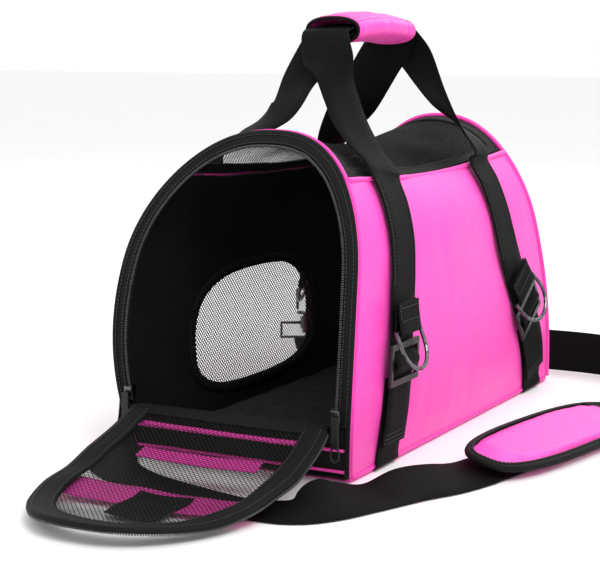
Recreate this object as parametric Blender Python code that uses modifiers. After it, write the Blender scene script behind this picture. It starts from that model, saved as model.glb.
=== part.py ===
"""A soft-sided pet carrier bag, standing with its front door unzipped and folded down.

Metres, +Z up. The origin is the centre of the bag's base. The door end faces -Y, the side with
the plain panel faces +X and the side with the mesh window faces -X.
"""

import math

import bmesh
import bpy
import numpy as np
from mathutils import Matrix, Vector

# ---- driving dimensions ----
HEIGHT = 0.280                 # base to the top of the arched section
HALF_LENGTH = 0.230            # at the base
HALF_WIDTH = 0.102             # at the base
WALL_BULGE = 0.012             # how far the side walls swell past the base
BULGE_HEIGHT = 0.115           # where they swell most
CROWN_HEIGHT = 0.168           # where the wall turns into the rounded crown
CROWN_POWER = 2.34             # superellipse exponent of the crown
FRONT_BELLY, FRONT_LEAN = 0.1086, 0.1666   # the front bellies out low down and leans back on top
BACK_LEAN, BACK_CURL = 0.0764, 0.020       # the back leans forward
BACK_NARROWING = 0.16          # how much narrower the top of the back end is
TOP_SAG = 0.018                # the mesh roof sags between its two hoops
SEAM_HEIGHT = 0.243            # top edge of the side panels
SILL_HEIGHT = 0.047            # height of the door hinge line
PANEL = 0.004                  # padded fabric
MESH = 0.0012                  # knitted mesh
TAPE = 0.0014                  # zipper tape and bindings
WEBBING = 0.0016
WEBBING_WIDTH = 0.044
WIRE = 0.0018                  # radius of the rings' and hooks' wire
GAP = 0.0004                   # left between pieces that touch
STEP = 0.001                   # clearance between stacked curved layers

# ---- zipper and door ----
TAPE_OUTER, TAPE_INNER = -0.0038, -0.0105  # the zipper tape's edges, measured inwards
TEETH_INNER = -0.0135
DOOR_EDGE = -0.0175
DOOR_BINDING = 0.020
BAND_LOW, BAND_HIGH = 0.154, 0.186   # the pink band under the door's mesh
PATCH_X, PATCH_Z = (-0.018, 0.030), (0.168, 0.216)
DOOR_OPEN_ANGLE = math.radians(114.5)
HINGE_Z = SILL_HEIGHT + 0.0015
SLIDER_INSET = -0.0115
PULL_SHIFT = 0.0012            # how far outwards a pull sits from its slider's middle

# ---- carrying straps ----
FRONT_STRAP_Y = -0.167
BUCKLE_Z = 0.092               # centre of each buckle
BUCKLE_WIDTH, BUCKLE_HEIGHT, BUCKLE_THICKNESS = 0.054, 0.036, 0.0030
BUCKLE_BAR = 0.0055
BUCKLE_OUT = 0.0078            # centre of the buckle's thickness, out from the wall
RING_WIDTH, RING_DROP = 0.046, 0.034
RING_AXIS_UP = 0.0275          # ring hinge above the buckle's centre
RING_OUT = {1: 0.0100, -1: 0.0145}  # out from the wall; further where a hook needs room
KEEPER_WIDTH = 0.040
RING_TILT = math.radians(24)   # the hooked rings stand off the wall
TAIL_END_Z = 0.022
GRIP_Y = (-0.078, 0.064)
GRIP_Z = 0.366

# ---- shoulder strap ----
PAD_LENGTH, PAD_WIDTH, PAD_THICKNESS = 0.240, 0.074, 0.008
PAD_LEAN = math.radians(12)    # the pad's edge nearer the bag is lifted
PAD_DIRECTION = Vector((0.174, 0.985, 0.0)).normalized()
PAD_SIDE = Vector((PAD_DIRECTION.y * math.cos(PAD_LEAN), -PAD_DIRECTION.x * math.cos(PAD_LEAN), -math.sin(PAD_LEAN)))
PAD_UP = PAD_SIDE.cross(PAD_DIRECTION)
PAD_CENTRE = Vector((0.2110, -0.052, PAD_WIDTH / 2 * math.sin(PAD_LEAN)))
BOW_HALF, BOW_HEIGHT, BOW_CORNER = 0.0085, 0.026, 0.004   # a snap hook's bow, at its wire's centre
BOW_PLAY = 0.0012              # between the top of the bow and the ring's wire
EYE_HALF, EYE_DROP = 0.0248, 0.0155


def start():
    for obj in list(bpy.data.objects):
        bpy.data.objects.remove(obj, do_unlink=True)


def collection(name, hidden=False):
    made = bpy.data.collections.new(name)
    bpy.context.scene.collection.children.link(made)
    made.hide_render = hidden
    return made


start()
PARTS = collection("pet_carrier_bag")
CUTTERS = collection("cutters", hidden=True)

COLOURS = {
    "pink_fabric": ((0.95, 0.10, 0.52), 0.55, 0.0),
    "black_fabric": ((0.022, 0.023, 0.022), 0.75, 0.0),
    "black_webbing": ((0.020, 0.022, 0.020), 0.70, 0.0),
    "black_mesh": ((0.025, 0.026, 0.025), 0.65, 0.0),
    "black_plastic": ((0.012, 0.012, 0.013), 0.35, 0.0),
    "dark_metal": ((0.16, 0.16, 0.17), 0.30, 1.0),
    "spring_steel": ((0.35, 0.35, 0.36), 0.35, 1.0),
    "fleece": ((0.018, 0.018, 0.018), 0.95, 0.0),
    "board": ((0.10, 0.09, 0.08), 0.80, 0.0),
}


def material(slot):
    found = bpy.data.materials.get(slot)
    if found:
        return found
    colour, roughness, metallic = COLOURS[slot]
    made = bpy.data.materials.new(slot)
    made.use_nodes = True
    shader = made.node_tree.nodes["Principled BSDF"]
    shader.inputs["Base Color"].default_value = (*colour, 1.0)
    shader.inputs["Roughness"].default_value = roughness
    shader.inputs["Metallic"].default_value = metallic
    made.diffuse_color = (*colour, 1.0)
    return made


# ---- the bag's curved section ----


def half_width(z):
    """Half the bag's width at this height, on its front end."""
    wall = HALF_WIDTH + WALL_BULGE * math.sin(math.pi / 2 * z / BULGE_HEIGHT)
    crown = min(max((z - CROWN_HEIGHT) / (HEIGHT - CROWN_HEIGHT), 0.0), 1.0)
    return wall * (1 - crown**CROWN_POWER) ** (1 / CROWN_POWER)


def front_y(z):
    up = z / HEIGHT
    return -HALF_LENGTH - FRONT_BELLY * up + FRONT_LEAN * up * up


def back_y(z):
    up = z / HEIGHT
    return HALF_LENGTH - BACK_LEAN * up + BACK_CURL * up * up


def arch(t):
    """(x, z) on the section's outline: t is 0 at the right foot, 0.5 on top, 1 at the left foot."""
    up = 1 - abs(2 * t - 1)
    side = 1 if t <= 0.5 else -1
    if up < 0.5:
        z = CROWN_HEIGHT * up / 0.5
    else:
        z = CROWN_HEIGHT + (HEIGHT - CROWN_HEIGHT) * math.sin((up - 0.5) * math.pi) ** (2 / CROWN_POWER)
    return side * half_width(min(z, HEIGHT)), z


def arch_at(z):
    """t of the right-hand point of this height."""
    if z < CROWN_HEIGHT:
        return 0.25 * z / CROWN_HEIGHT
    rise = (z - CROWN_HEIGHT) / (HEIGHT - CROWN_HEIGHT)
    return 0.25 + math.asin(rise ** (CROWN_POWER / 2)) / (2 * math.pi)


def section(t, out=0.0):
    """A point of the outline moved outwards, square to it."""
    x, z = arch(t)
    before, after = arch(max(t - 0.004, 0.0)), arch(min(t + 0.004, 1.0))
    normal = Vector((after[1] - before[1], before[0] - after[0])).normalized()
    return x + out * normal.x, z + out * normal.y


def shell(t, v, out=0.0):
    """A point of the bag's skin: v is 0 on the front edge and 1 on the back edge."""
    x, z = section(t, out)
    y = front_y(z) * (1 - v) + back_y(z) * v
    rise = min(max((z - CROWN_HEIGHT) / (HEIGHT - CROWN_HEIGHT), 0.0), 1.0)
    x *= 1 - BACK_NARROWING * z / HEIGHT * v
    return Vector((x, y, z - TOP_SAG * math.sin(math.pi * min(max(v, 0.0), 1.0)) * rise * rise))


def wall_point(side, y, z, out):
    """A point out from the side wall, with the wall's outward direction there."""
    v = (y - front_y(z)) / (back_y(z) - front_y(z))
    narrow = 1 - BACK_NARROWING * z / HEIGHT * v
    slope = (half_width(z + 0.002) - half_width(z - 0.002)) / 0.004 * narrow
    normal = Vector((side, 0, -slope)).normalized()
    return Vector((side * half_width(z) * narrow, y, z)) + out * normal, normal


# ---- makers ----


def finish(mesh_data, name, slot, where=None):
    obj = bpy.data.objects.new(name, mesh_data)
    (where or PARTS).objects.link(obj)
    obj.data.materials.append(material(slot))
    return obj


def solidify(obj, thickness, offset=-1.0):
    thick = obj.modifiers.new("thickness", "SOLIDIFY")
    thick.thickness = thickness
    thick.offset = offset
    thick.use_even_offset = True
    return obj


def sheet(name, slot, across, along, point, thickness, away_from, offset=-1.0):
    """A grid bent to point(u, v), made solid; its outer face is the one away from a point inside."""
    bm = bmesh.new()
    bmesh.ops.create_grid(bm, x_segments=across, y_segments=along, size=0.5)
    for vert in bm.verts:
        vert.co = point(vert.co.x + 0.5, vert.co.y + 0.5)
    bm.normal_update()
    lean = sum(f.normal.dot(f.calc_center_median() - Vector(away_from)) * f.calc_area() for f in bm.faces)
    if lean < 0:
        bmesh.ops.reverse_faces(bm, faces=bm.faces)
    data = bpy.data.meshes.new(name)
    bm.to_mesh(data)
    bm.free()
    obj = finish(data, name, slot)
    return solidify(obj, thickness, offset)


def smooth(points, count):
    """Points evenly spaced by parameter on a Catmull-Rom curve through these."""
    rows = np.array(points, float)
    rows = np.vstack([2 * rows[0] - rows[1], rows, 2 * rows[-1] - rows[-2]])
    made = []
    for step in np.linspace(0, len(points) - 1, count):
        i = min(int(step), len(points) - 2)
        t = step - i
        a, b, c, d = rows[i : i + 4]
        made.append(0.5 * (2 * b + (c - a) * t + (2 * a - 5 * b + 4 * c - d) * t * t
                           + (3 * b - a - 3 * c + d) * t**3))
    return np.array(made)


def ribbon(name, slot, points, normals, count, width=WEBBING_WIDTH, thickness=WEBBING):
    """Flat webbing along a path. Each point has the direction its outer face looks in."""
    path, faces = smooth(points, count), smooth(normals, count)
    ahead = np.gradient(path, axis=0)

    def at(u, v):
        i = round(u * (count - 1))
        across = Vector(np.cross(ahead[i], faces[i])).normalized()
        return Vector(path[i]) + across * (v - 0.5) * width

    obj = sheet(name, slot, count - 1, 1, at, thickness, (0, 0, 0), 0.0)
    return obj


def wire(name, slot, points, radius, closed=False, sides=2):
    curve = bpy.data.curves.new(name, "CURVE")
    curve.dimensions = "3D"
    curve.bevel_depth = radius
    curve.bevel_resolution = sides
    curve.use_fill_caps = True
    spline = curve.splines.new("POLY")
    spline.points.add(len(points) - 1)
    for item, co in zip(spline.points, points):
        item.co = (*co, 1.0)
    spline.use_cyclic_u = closed
    obj = bpy.data.objects.new(name, curve)
    PARTS.objects.link(obj)
    curve.materials.append(material(slot))
    return obj


def box(name, slot, size, centre, turn=None, bevel=0.0, where=None):
    bm = bmesh.new()
    bmesh.ops.create_cube(bm, size=1.0)
    bmesh.ops.scale(bm, vec=size, verts=bm.verts)
    data = bpy.data.meshes.new(name)
    bm.to_mesh(data)
    bm.free()
    obj = finish(data, name, slot, where)
    obj.matrix_world = Matrix.Translation(centre) @ (turn or Matrix.Identity(4))
    if bevel:
        edge = obj.modifiers.new("edge", "BEVEL")
        edge.width = bevel
        edge.segments = 2
    return obj


def cut(obj, cutter):
    tool = obj.modifiers.new("cut", "BOOLEAN")
    tool.operation = "DIFFERENCE"
    tool.object = cutter
    cutter.hide_render = True
    cutter.display_type = "WIRE"


# ---- base, walls and roof ----
INSIDE = (0.0, 0.0, 0.10)
BASE_STRAPS = {"front": FRONT_STRAP_Y, "back": 0.178}


def base():
    panel = box("base_panel", "pink_fabric", (2 * HALF_WIDTH - 0.010, 2 * HALF_LENGTH - 0.006, 0.0046),
                (0, 0, 0.0023), bevel=0.0012)
    for name, y in BASE_STRAPS.items():
        groove = box(f"groove_{name}", "black_fabric", (0.3, WEBBING_WIDTH + 0.002, 0.0060),
                     (0, y, -0.0006), where=CUTTERS)
        cut(panel, groove)
    box("floor_board", "board", (0.180, 0.404, 0.003), (0, -0.008, 0.0065), bevel=0.0008)
    box("floor_pad", "fleece", (0.186, 0.410, 0.011), (0, -0.008, 0.0140), bevel=0.0035)


def wall_sheet(name, first, last, flip):
    def at(u, v):
        t = first + (last - first) * u
        return shell(1 - t if flip else t, v)
    return sheet(name, "pink_fabric", 15, 10, at, PANEL, INSIDE)


WINDOW_Y, WINDOW_HALF = -0.021, 0.112
WINDOW_LOW, WINDOW_HIGH = 0.032, 0.142


def window_edge(angle, grow=0.0):
    """(y, z) on the arched outline of the side window."""
    c, s = math.cos(angle), math.sin(angle)
    y = WINDOW_Y + (WINDOW_HALF + grow) * math.copysign(abs(c) ** 0.7, c)
    middle = WINDOW_LOW + 0.35 * (WINDOW_HIGH - WINDOW_LOW)
    reach = (WINDOW_HIGH - middle if s > 0 else middle - WINDOW_LOW) + grow
    return y, middle + reach * math.copysign(abs(s) ** 0.7, s)


def left_point(y, z, out):
    return wall_point(-1, y, z, out)[0]


def window_cutter(around):
    bm = bmesh.new()
    ring = [bm.verts.new((-0.16, *window_edge(2 * math.pi * i / around))) for i in range(around)]
    face = bm.faces.new(ring)
    made = bmesh.ops.extrude_face_region(bm, geom=[face])
    moved = [item for item in made["geom"] if isinstance(item, bmesh.types.BMVert)]
    bmesh.ops.translate(bm, verts=moved, vec=(0.10, 0, 0))
    bmesh.ops.recalc_face_normals(bm, faces=bm.faces)
    data = bpy.data.meshes.new("window_cutter")
    bm.to_mesh(data)
    bm.free()
    return finish(data, "window_cutter", "black_fabric", CUTTERS)


def walls():
    first, seam = arch_at(0.0050), arch_at(SEAM_HEIGHT)
    wall_sheet("side_panel_right", first, seam, False)
    left = wall_sheet("side_panel_left", first, seam, True)
    cut(left, window_cutter(40))

    def netting(u, v):
        y = WINDOW_Y + (2 * u - 1) * (WINDOW_HALF + 0.006)
        z = WINDOW_LOW - 0.006 + v * (WINDOW_HIGH - WINDOW_LOW + 0.012)
        return left_point(y, z, -PANEL - STEP)

    sheet("side_window_mesh", "black_mesh", 13, 7, netting, MESH, INSIDE)
    ring("side_window_binding", "black_fabric", 40,
         lambda a, grow: left_point(*window_edge(a, grow), STEP + TAPE), 0.0008, 0.008, TAPE, INSIDE)


def ring(name, slot, around, edge, inner, outer, thickness, away_from):
    """A closed flat band between edge(angle, inner) and edge(angle, outer), made solid."""
    bm = bmesh.new()
    rows = [[bm.verts.new(edge(2 * math.pi * i / around, grow)) for i in range(around)]
            for grow in (inner, outer)]
    for i in range(around):
        j = (i + 1) % around
        bm.faces.new((rows[0][i], rows[0][j], rows[1][j], rows[1][i]))
    bm.normal_update()
    lean = sum(f.normal.dot(f.calc_center_median() - Vector(away_from)) for f in bm.faces)
    if lean < 0:
        bmesh.ops.reverse_faces(bm, faces=bm.faces)
    data = bpy.data.meshes.new(name)
    bm.to_mesh(data)
    bm.free()
    return solidify(finish(data, name, slot), thickness)


def roof():
    seam = arch_at(SEAM_HEIGHT) + 0.004
    sheet("top_mesh", "black_mesh", 14, 10,
          lambda u, v: shell(seam + (1 - 2 * seam) * u, v, -PANEL + MESH), MESH, INSIDE)

    def frame(angle, grow):
        """A rectangle in (t, v) that frames the roof, wider as grow goes from 0 to 1."""
        along = 2 * angle / math.pi
        part = along - int(along)
        corner = int(along) % 4
        a, b = ((part, 0), (1, part), (1 - part, 1), (0, 1 - part))[corner]
        inset = 0.022 * (1 - grow)
        half_t, half_v = 0.5 - seam - 0.004 - inset, 0.496 - 1.9 * inset
        return shell(0.5 + half_t * (2 * a - 1), 0.5 + half_v * (2 * b - 1), -PANEL + MESH + STEP + TAPE)

    ring("top_binding", "black_fabric", 56, frame, 0.0, 1.0, TAPE, INSIDE)


def end_outline(t, out, end_y, push):
    """A point of an end's edge, moved in from the outline and pushed along Y."""
    x, z = section(t, out)
    if end_y is back_y:
        x *= 1 - BACK_NARROWING * z / HEIGHT
    return Vector((x, end_y(z) + push, z))


def ends():
    low = arch_at(SILL_HEIGHT + 0.003)

    def band(name, slot, outer, inner, thickness, push, foot=low, count=40):
        def at(u, v):
            t = foot + (1 - 2 * foot) * u
            return end_outline(t, inner + (outer - inner) * v, front_y, push)
        return sheet(name, slot, count, 1, at, thickness, (0, 0.5, 0.1), 0.0)

    band("front_zipper_tape", "black_fabric", TAPE_OUTER, TAPE_INNER, TAPE, -0.0026)
    band("front_zipper_teeth", "black_plastic", TAPE_INNER - GAP, TEETH_INNER, 0.0026, -0.0026)

    def hoop(name, slot, end_y, push, out, radius, foot_z, count):
        foot = arch_at(foot_z)
        points = [end_outline(foot + (1 - 2 * foot) * i / count, out, end_y, push) for i in range(count + 1)]
        wire(name, slot, points, radius)

    for end, end_y, outwards in (("front", front_y, -1), ("back", back_y, 1)):
        hoop(f"{end}_piping", "pink_fabric", end_y, 0.0036 * outwards, -0.0008, 0.0024, 0.0065, 40)
        hoop(f"{end}_hoop", "spring_steel", end_y, -0.0050 * outwards, -0.0090, 0.0014, 0.020, 32)

    def sill(u, v):
        z = 0.0055 + (SILL_HEIGHT - 0.0055) * v
        reach = half_width(z) - 0.0070
        return Vector(((2 * u - 1) * reach, front_y(z) - 0.0014, z))

    sheet("front_sill", "black_fabric", 8, 4, sill, 0.003, INSIDE)

    foot = arch_at(0.0055)

    def back(u, v):
        edge = end_outline(foot + (0.462 - foot) * v, -0.0046, back_y, 0.0044)
        return Vector(((2 * u - 1) * edge.x, edge.y, edge.z))

    sheet("back_panel", "pink_fabric", 8, 22, back, 0.0034, INSIDE)


# ---- the door ----
HINGE = Vector((0.0, front_y(SILL_HEIGHT) - 0.0040, HINGE_Z))
DOOR_LOW, DOOR_HIGH = SILL_HEIGHT + 0.0060, HEIGHT + DOOR_EDGE
OPENED = Matrix.Translation(HINGE) @ Matrix.Rotation(DOOR_OPEN_ANGLE, 4, "X") @ Matrix.Translation(-HINGE)


def door_point(x, z, out):
    """A point of the door, given where it is when the door is shut and lifted off its outer face."""
    return OPENED @ Vector((x, front_y(z) - 0.0026 - out, z))


def door_edge(t, inwards=0.0):
    x, z = section(t, DOOR_EDGE - inwards)
    return x, z


def door():
    foot = arch_at(DOOR_LOW)

    top = foot + (0.5 - foot) * 0.93

    def netting(u, v):
        """Rows follow the door's arch down to its straight hinge edge."""
        t = foot + (top - foot) * v
        x, z = door_edge(t, 0.0010)
        return door_point((2 * u - 1) * abs(x), max(z, DOOR_LOW), 0)

    outside = door_point(0, 0.15, -1.0)
    sheet("door_mesh", "black_mesh", 10, 18, netting, MESH, outside)

    def binding(u, v):
        t = foot + (1 - 2 * foot) * u
        x, z = door_edge(t, DOOR_BINDING * v)
        return door_point(x, z, -MESH - GAP - 0.0006)

    sheet("door_binding", "black_fabric", 40, 1, binding, TAPE, outside)

    def teeth(u, v):
        t = foot + (1 - 2 * foot) * u
        x, z = door_edge(t, 0.0008 + 0.003 * v)
        return door_point(x, z, 0.0012 + 0.0020)

    sheet("door_zipper_teeth", "black_plastic", 40, 1, teeth, 0.0020, outside)

    def band(u, v):
        z = BAND_LOW + (BAND_HIGH - BAND_LOW) * v
        reach = half_width(z) + DOOR_EDGE - 0.0060
        return door_point((2 * u - 1) * reach, z, 0.0012 + 2 * TAPE + GAP)

    sheet("door_band", "pink_fabric", 8, 3, band, TAPE - 0.0004, outside)

    def patch(u, v):
        x, z = PATCH_X[0] + (PATCH_X[1] - PATCH_X[0]) * u, PATCH_Z[0] + (PATCH_Z[1] - PATCH_Z[0]) * v
        return door_point(x, z, 0.0012 + TAPE - 0.0002)

    sheet("door_patch", "black_fabric", 3, 3, patch, TAPE - 0.0004, outside)

    def fold(u, v):
        z = SILL_HEIGHT - 0.014 + 0.0120 * v
        return Vector(((2 * u - 1) * (half_width(z) - 0.020), front_y(z) - 0.0014 - 0.0012 - TAPE, z))

    sheet("door_hinge_tape", "black_fabric", 8, 2, fold, TAPE, INSIDE)


# ---- zipper sliders and their pulls ----


def zipper_slider(name, side):
    t = arch_at(0.0585)
    x, z = section(t, SLIDER_INSET)
    centre = Vector((side * x, front_y(z) - 0.0026, z))
    body = box(f"zipper_slider_{name}", "dark_metal", (0.0080, 0.0074, 0.0105), centre, bevel=0.0008)
    slope = (front_y(z + 0.01) - front_y(z - 0.01)) / 0.02
    lean = Matrix.Rotation(-math.atan(slope), 4, "X")
    body.matrix_world = Matrix.Translation(centre) @ lean
    slot = box(f"slider_slot_{name}", "dark_metal", (0.0086, 0.0038, 0.03), (0, 0, 0), where=CUTTERS)
    slot.matrix_world = Matrix.Translation(centre + Vector((side * 0.0016, 0, 0))) @ lean
    cut(body, slot)
    pivot = centre + Vector((side * PULL_SHIFT, -0.0059, 0.002))
    pull = box(f"zipper_pull_{name}", "black_plastic", (0.0068, 0.0022, 0.026),
               pivot + Vector((0, 0, -0.0150)), bevel=0.0006)
    loop = wire(f"pull_loop_{name}", "dark_metal",
                [pivot + Vector((0.0036 * math.cos(a), 0, -0.0325 + 0.0062 * math.sin(a)))
                 for a in np.linspace(0, 2 * math.pi, 20, endpoint=False)], 0.0008, closed=True, sides=1)
    join(pull, loop)


def join(obj, other):
    """Makes a curve piece part of a mesh piece."""
    bpy.context.view_layer.update()
    graph = bpy.context.evaluated_depsgraph_get()
    data = bpy.data.meshes.new_from_object(other.evaluated_get(graph))
    bm = bmesh.new()
    bm.from_mesh(data)
    bmesh.ops.remove_doubles(bm, verts=bm.verts, dist=1e-6)
    bm.to_mesh(data)
    bm.free()
    tool = bpy.data.objects.new(other.name + "_shape", data)
    tool.matrix_world = other.matrix_world
    CUTTERS.objects.link(tool)
    bpy.data.objects.remove(other)
    both = obj.modifiers.new("join", "BOOLEAN")
    both.operation = "UNION"
    both.object = tool
    tool.hide_render = True
    tool.display_type = "WIRE"


# ---- carrying straps, buckles and rings ----


def back_strap_y(z):
    """The rear strap slants: it meets the base further back than the roof."""
    s = min(z / 0.20, 1.0)
    u = min(max((z - 0.11) / 0.09, 0.0), 1.0)
    return 0.178 - 0.100 * s * s * (3 - 2 * s) + 0.011 * u * u * (3 - 2 * u)


def front_strap_y(z):
    """The front strap is upright at its buckle and slants back above it."""
    return FRONT_STRAP_Y + 0.035 * max((z - 0.107) / 0.136, 0.0) ** 1.3


STRAP_Y = {"front": front_strap_y, "back": back_strap_y}
# The free run of each strap from the roof's edge to the grip's end, and the way it faces there.
RUNS = {
    ("right", "front"): [((0.0805, -0.1300, 0.2500), (0.80, -0.08, 0.60)),
                         ((0.0590, -0.1185, 0.2655), (0.80, -0.16, 0.58)),
                         ((0.0410, -0.1095, 0.2840), (0.82, -0.25, 0.50)),
                         ((0.0285, -0.1030, 0.3050), (0.86, -0.28, 0.42)),
                         ((0.0190, -0.1005, 0.3270), (0.83, -0.38, 0.40)),
                         ((0.0100, -0.0955, 0.3455), (0.24, -0.90, 0.38))],
    ("right", "back"): [((0.0800, 0.0885, 0.2535), (0.80, 0.10, 0.60)),
                        ((0.0630, 0.0820, 0.2740), (0.84, 0.38, 0.42)),
                        ((0.0440, 0.0765, 0.2990), (0.70, 0.66, 0.28)),
                        ((0.0180, 0.0805, 0.3360), (0.24, 0.90, 0.35))],
    ("left", "front"): [((-0.0865, -0.1340, 0.2555), (-0.62, -0.12, 0.78)),
                        ((-0.0620, -0.1380, 0.2690), (-0.42, -0.30, 0.85)),
                        ((-0.0400, -0.1360, 0.2800), (-0.32, -0.36, 0.87)),
                        ((-0.0225, -0.1310, 0.2905), (-0.38, -0.66, 0.63)),
                        ((-0.0140, -0.1220, 0.3030), (-0.35, -0.85, 0.40)),
                        ((-0.0130, -0.0980, 0.3240), (-0.14, -0.90, 0.40)),
                        ((-0.0080, -0.0790, 0.3460), (-0.05, -0.88, 0.45))],
    ("left", "back"): [((-0.0800, 0.0895, 0.2560), (-0.55, 0.15, 0.80)),
                       ((-0.0620, 0.0830, 0.2800), (-0.40, 0.55, 0.60)),
                       ((-0.0400, 0.0730, 0.3050), (-0.20, 0.85, 0.35)),
                       ((-0.0160, 0.0640, 0.3360), (-0.10, 0.90, 0.40))],
}
SIDES = {"right": 1, "left": -1}


def buckle_frame(side, end):
    """Where this buckle sits: its centre on the wall, the way out, and the way up the strap."""
    y_of = STRAP_Y[end]
    low, _ = wall_point(side, y_of(BUCKLE_Z - 0.015), BUCKLE_Z - 0.015, 0)
    high, _ = wall_point(side, y_of(BUCKLE_Z + 0.015), BUCKLE_Z + 0.015, 0)
    at, out = wall_point(side, y_of(BUCKLE_Z), BUCKLE_Z, 0)
    up = (high - low).normalized()
    out = (out - up * out.dot(up)).normalized()
    return at, out, up


def base_strap(end):
    """Sewn webbing that runs under the base and up both walls to the buckles."""
    y_of = STRAP_Y[end]
    points, normals = [], []
    for side in (1, -1):
        run = []
        for z in (BUCKLE_Z - 0.012, 0.060, 0.040, 0.022, 0.010):
            at, out = wall_point(side, y_of(z), z, STEP + 0.0005)
            run.append((at, out))
        corner = ((0.1052, 0.0042, 0.8, -0.6), (0.1000, 0.0013, 0.15, -1), (0.085, 0.0012, 0, -1),
                  (0.055, 0.0012, 0, -1), (0.020, 0.0012, 0, -1))
        for x, z, out_x, out_z in corner:
            run.append((Vector((side * x, y_of(0), z)), Vector((side * out_x, 0, out_z))))
        if side < 0:
            run.reverse()
        points += [tuple(p) for p, _ in run]
        normals += [tuple(n) for _, n in run]
    ribbon(f"base_strap_{end}", "black_webbing", points, normals, 58, WEBBING_WIDTH - 0.001, 0.0014)


def strap_leg(side_name, end):
    """One end of a carrying strap: hemmed tail, through the buckle, up the wall and to the grip."""
    side = SIDES[side_name]
    y_of = STRAP_Y[end]
    leg = []
    for z, out in ((TAIL_END_Z, 0.0052), (0.034, 0.0052), (0.046, 0.0054), (0.060, 0.0052)):
        leg.append(wall_point(side, y_of(z), z, out))
    at, out_dir, up = buckle_frame(side, end)
    pitch = (BUCKLE_HEIGHT - BUCKLE_BAR) / 2
    for rise, out in ((-pitch - 0.003, 0.0048), (-pitch + 0.0032, 0.0052), (-0.0030, 0.0110),
                      (0.0030, 0.0110), (pitch - 0.0032, 0.0052), (pitch + 0.003, 0.0048)):
        leg.append((at + up * rise + out_dir * out, out_dir))
    for z in (0.122, 0.145, 0.170, 0.195, 0.220, 0.238):
        leg.append(wall_point(side, y_of(z), z, 0.0046))
    leg += [(Vector(p), Vector(n)) for p, n in RUNS[side_name, end]]
    return leg


def carrying_strap(side_name):
    side = SIDES[side_name]
    drop, inset = (0.0, 0.0) if side > 0 else (0.0049, 0.0060)
    front, back = GRIP_Y[0] + inset, GRIP_Y[1] - inset
    middle = [((side * 0.002, front - 0.006, GRIP_Z - 0.0045 - drop), (side * 0.05, -0.70, 0.70)),
              ((side * 0.001, front + 0.004, GRIP_Z - 0.0005 - drop), (0, -0.20, 1)),
              ((0, -0.035, GRIP_Z + 0.0035 - drop), (0, -0.03, 1)),
              ((0, 0.020, GRIP_Z + 0.0040 - drop), (0, 0.03, 1)),
              ((side * 0.001, back - 0.004, GRIP_Z - 0.0005 - drop), (0, 0.20, 1)),
              ((side * 0.002, back + 0.006, GRIP_Z - 0.0045 - drop), (side * 0.05, 0.70, 0.70))]
    path = strap_leg(side_name, "front") + middle + strap_leg(side_name, "back")[::-1]
    ribbon(f"carry_strap_{side_name}", "black_webbing", [tuple(p) for p, _ in path],
           [tuple(n) for _, n in path], 176)


def grip_middle(y):
    """Height of the middle of the grip, which arches a little."""
    part = (2 * y - GRIP_Y[0] - GRIP_Y[1]) / (GRIP_Y[1] - GRIP_Y[0])
    return GRIP_Z + 0.0025 - 0.0055 * part * part


GRIP_HALF_WIDTH, GRIP_HALF_HEIGHT, GRIP_WALL = 0.0275, 0.0120, 0.0022
WRAP_Y = (-0.0655, 0.0535)


def grip_point(angle, y):
    c, s = math.cos(angle), math.sin(angle)
    return Vector((GRIP_HALF_WIDTH * math.copysign(abs(c) ** 0.85, c), y,
                   grip_middle(y) + GRIP_HALF_HEIGHT * math.copysign(abs(s) ** 0.85, s)))


def grip():
    """A padded wrap round both straps, and the flap that closes it over the top."""
    middle = (0, 0, GRIP_Z)
    reach = WRAP_Y[1] - WRAP_Y[0]

    def piece(name, first, last, across):
        def at(u, v):
            return grip_point(math.radians(first + (last - first) * u), WRAP_Y[0] + reach * v)

        sheet(name, "pink_fabric", across, 8, at, GRIP_WALL, middle)

    piece("grip_wrap", 147, 393, 18)
    piece("grip_flap", 37, 143, 9)


def buckle(side_name, end):
    side = SIDES[side_name]
    at, out, up = buckle_frame(side, end)
    along = up.cross(out) * side
    turn = Matrix((out * side, along, up)).transposed().to_4x4()
    name = f"{side_name}_{end}"
    frame = box(f"strap_buckle_{name}", "black_plastic", (BUCKLE_THICKNESS, BUCKLE_WIDTH, BUCKLE_HEIGHT),
                at + out * BUCKLE_OUT, turn, bevel=0.0008)
    slot = (BUCKLE_HEIGHT - 3 * BUCKLE_BAR) / 2
    for rise in (-1, 1):
        hole = box(f"buckle_slot_{name}_{rise}", "black_plastic", (0.02, WEBBING_WIDTH + 0.0016, slot),
                   at + out * BUCKLE_OUT + up * rise * (slot + BUCKLE_BAR) / 2, turn, where=CUTTERS)
        cut(frame, hole)
    axis = at + up * RING_AXIS_UP + out * RING_OUT[side]
    keeper(name, axis, out, up, RING_OUT[side])
    swing = Matrix.Rotation(RING_TILT, 4, up.cross(out)).inverted()
    half, drop = RING_WIDTH / 2, RING_DROP
    flat = [(-half, 0), (-half, -drop * 0.35)]
    flat += [(-half * math.cos(a), -drop * 0.35 - (drop * 0.65) * math.sin(a))
             for a in np.linspace(0, math.pi, 13)[1:-1]]
    flat += [(half, -drop * 0.35), (half, 0)]
    points = [axis + swing @ (along * a + up * b) for a, b in flat]
    wire(f"d_ring_{name}", "dark_metal", points, WIRE, closed=True)
    return axis, along, axis + swing @ (up * -drop)


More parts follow.
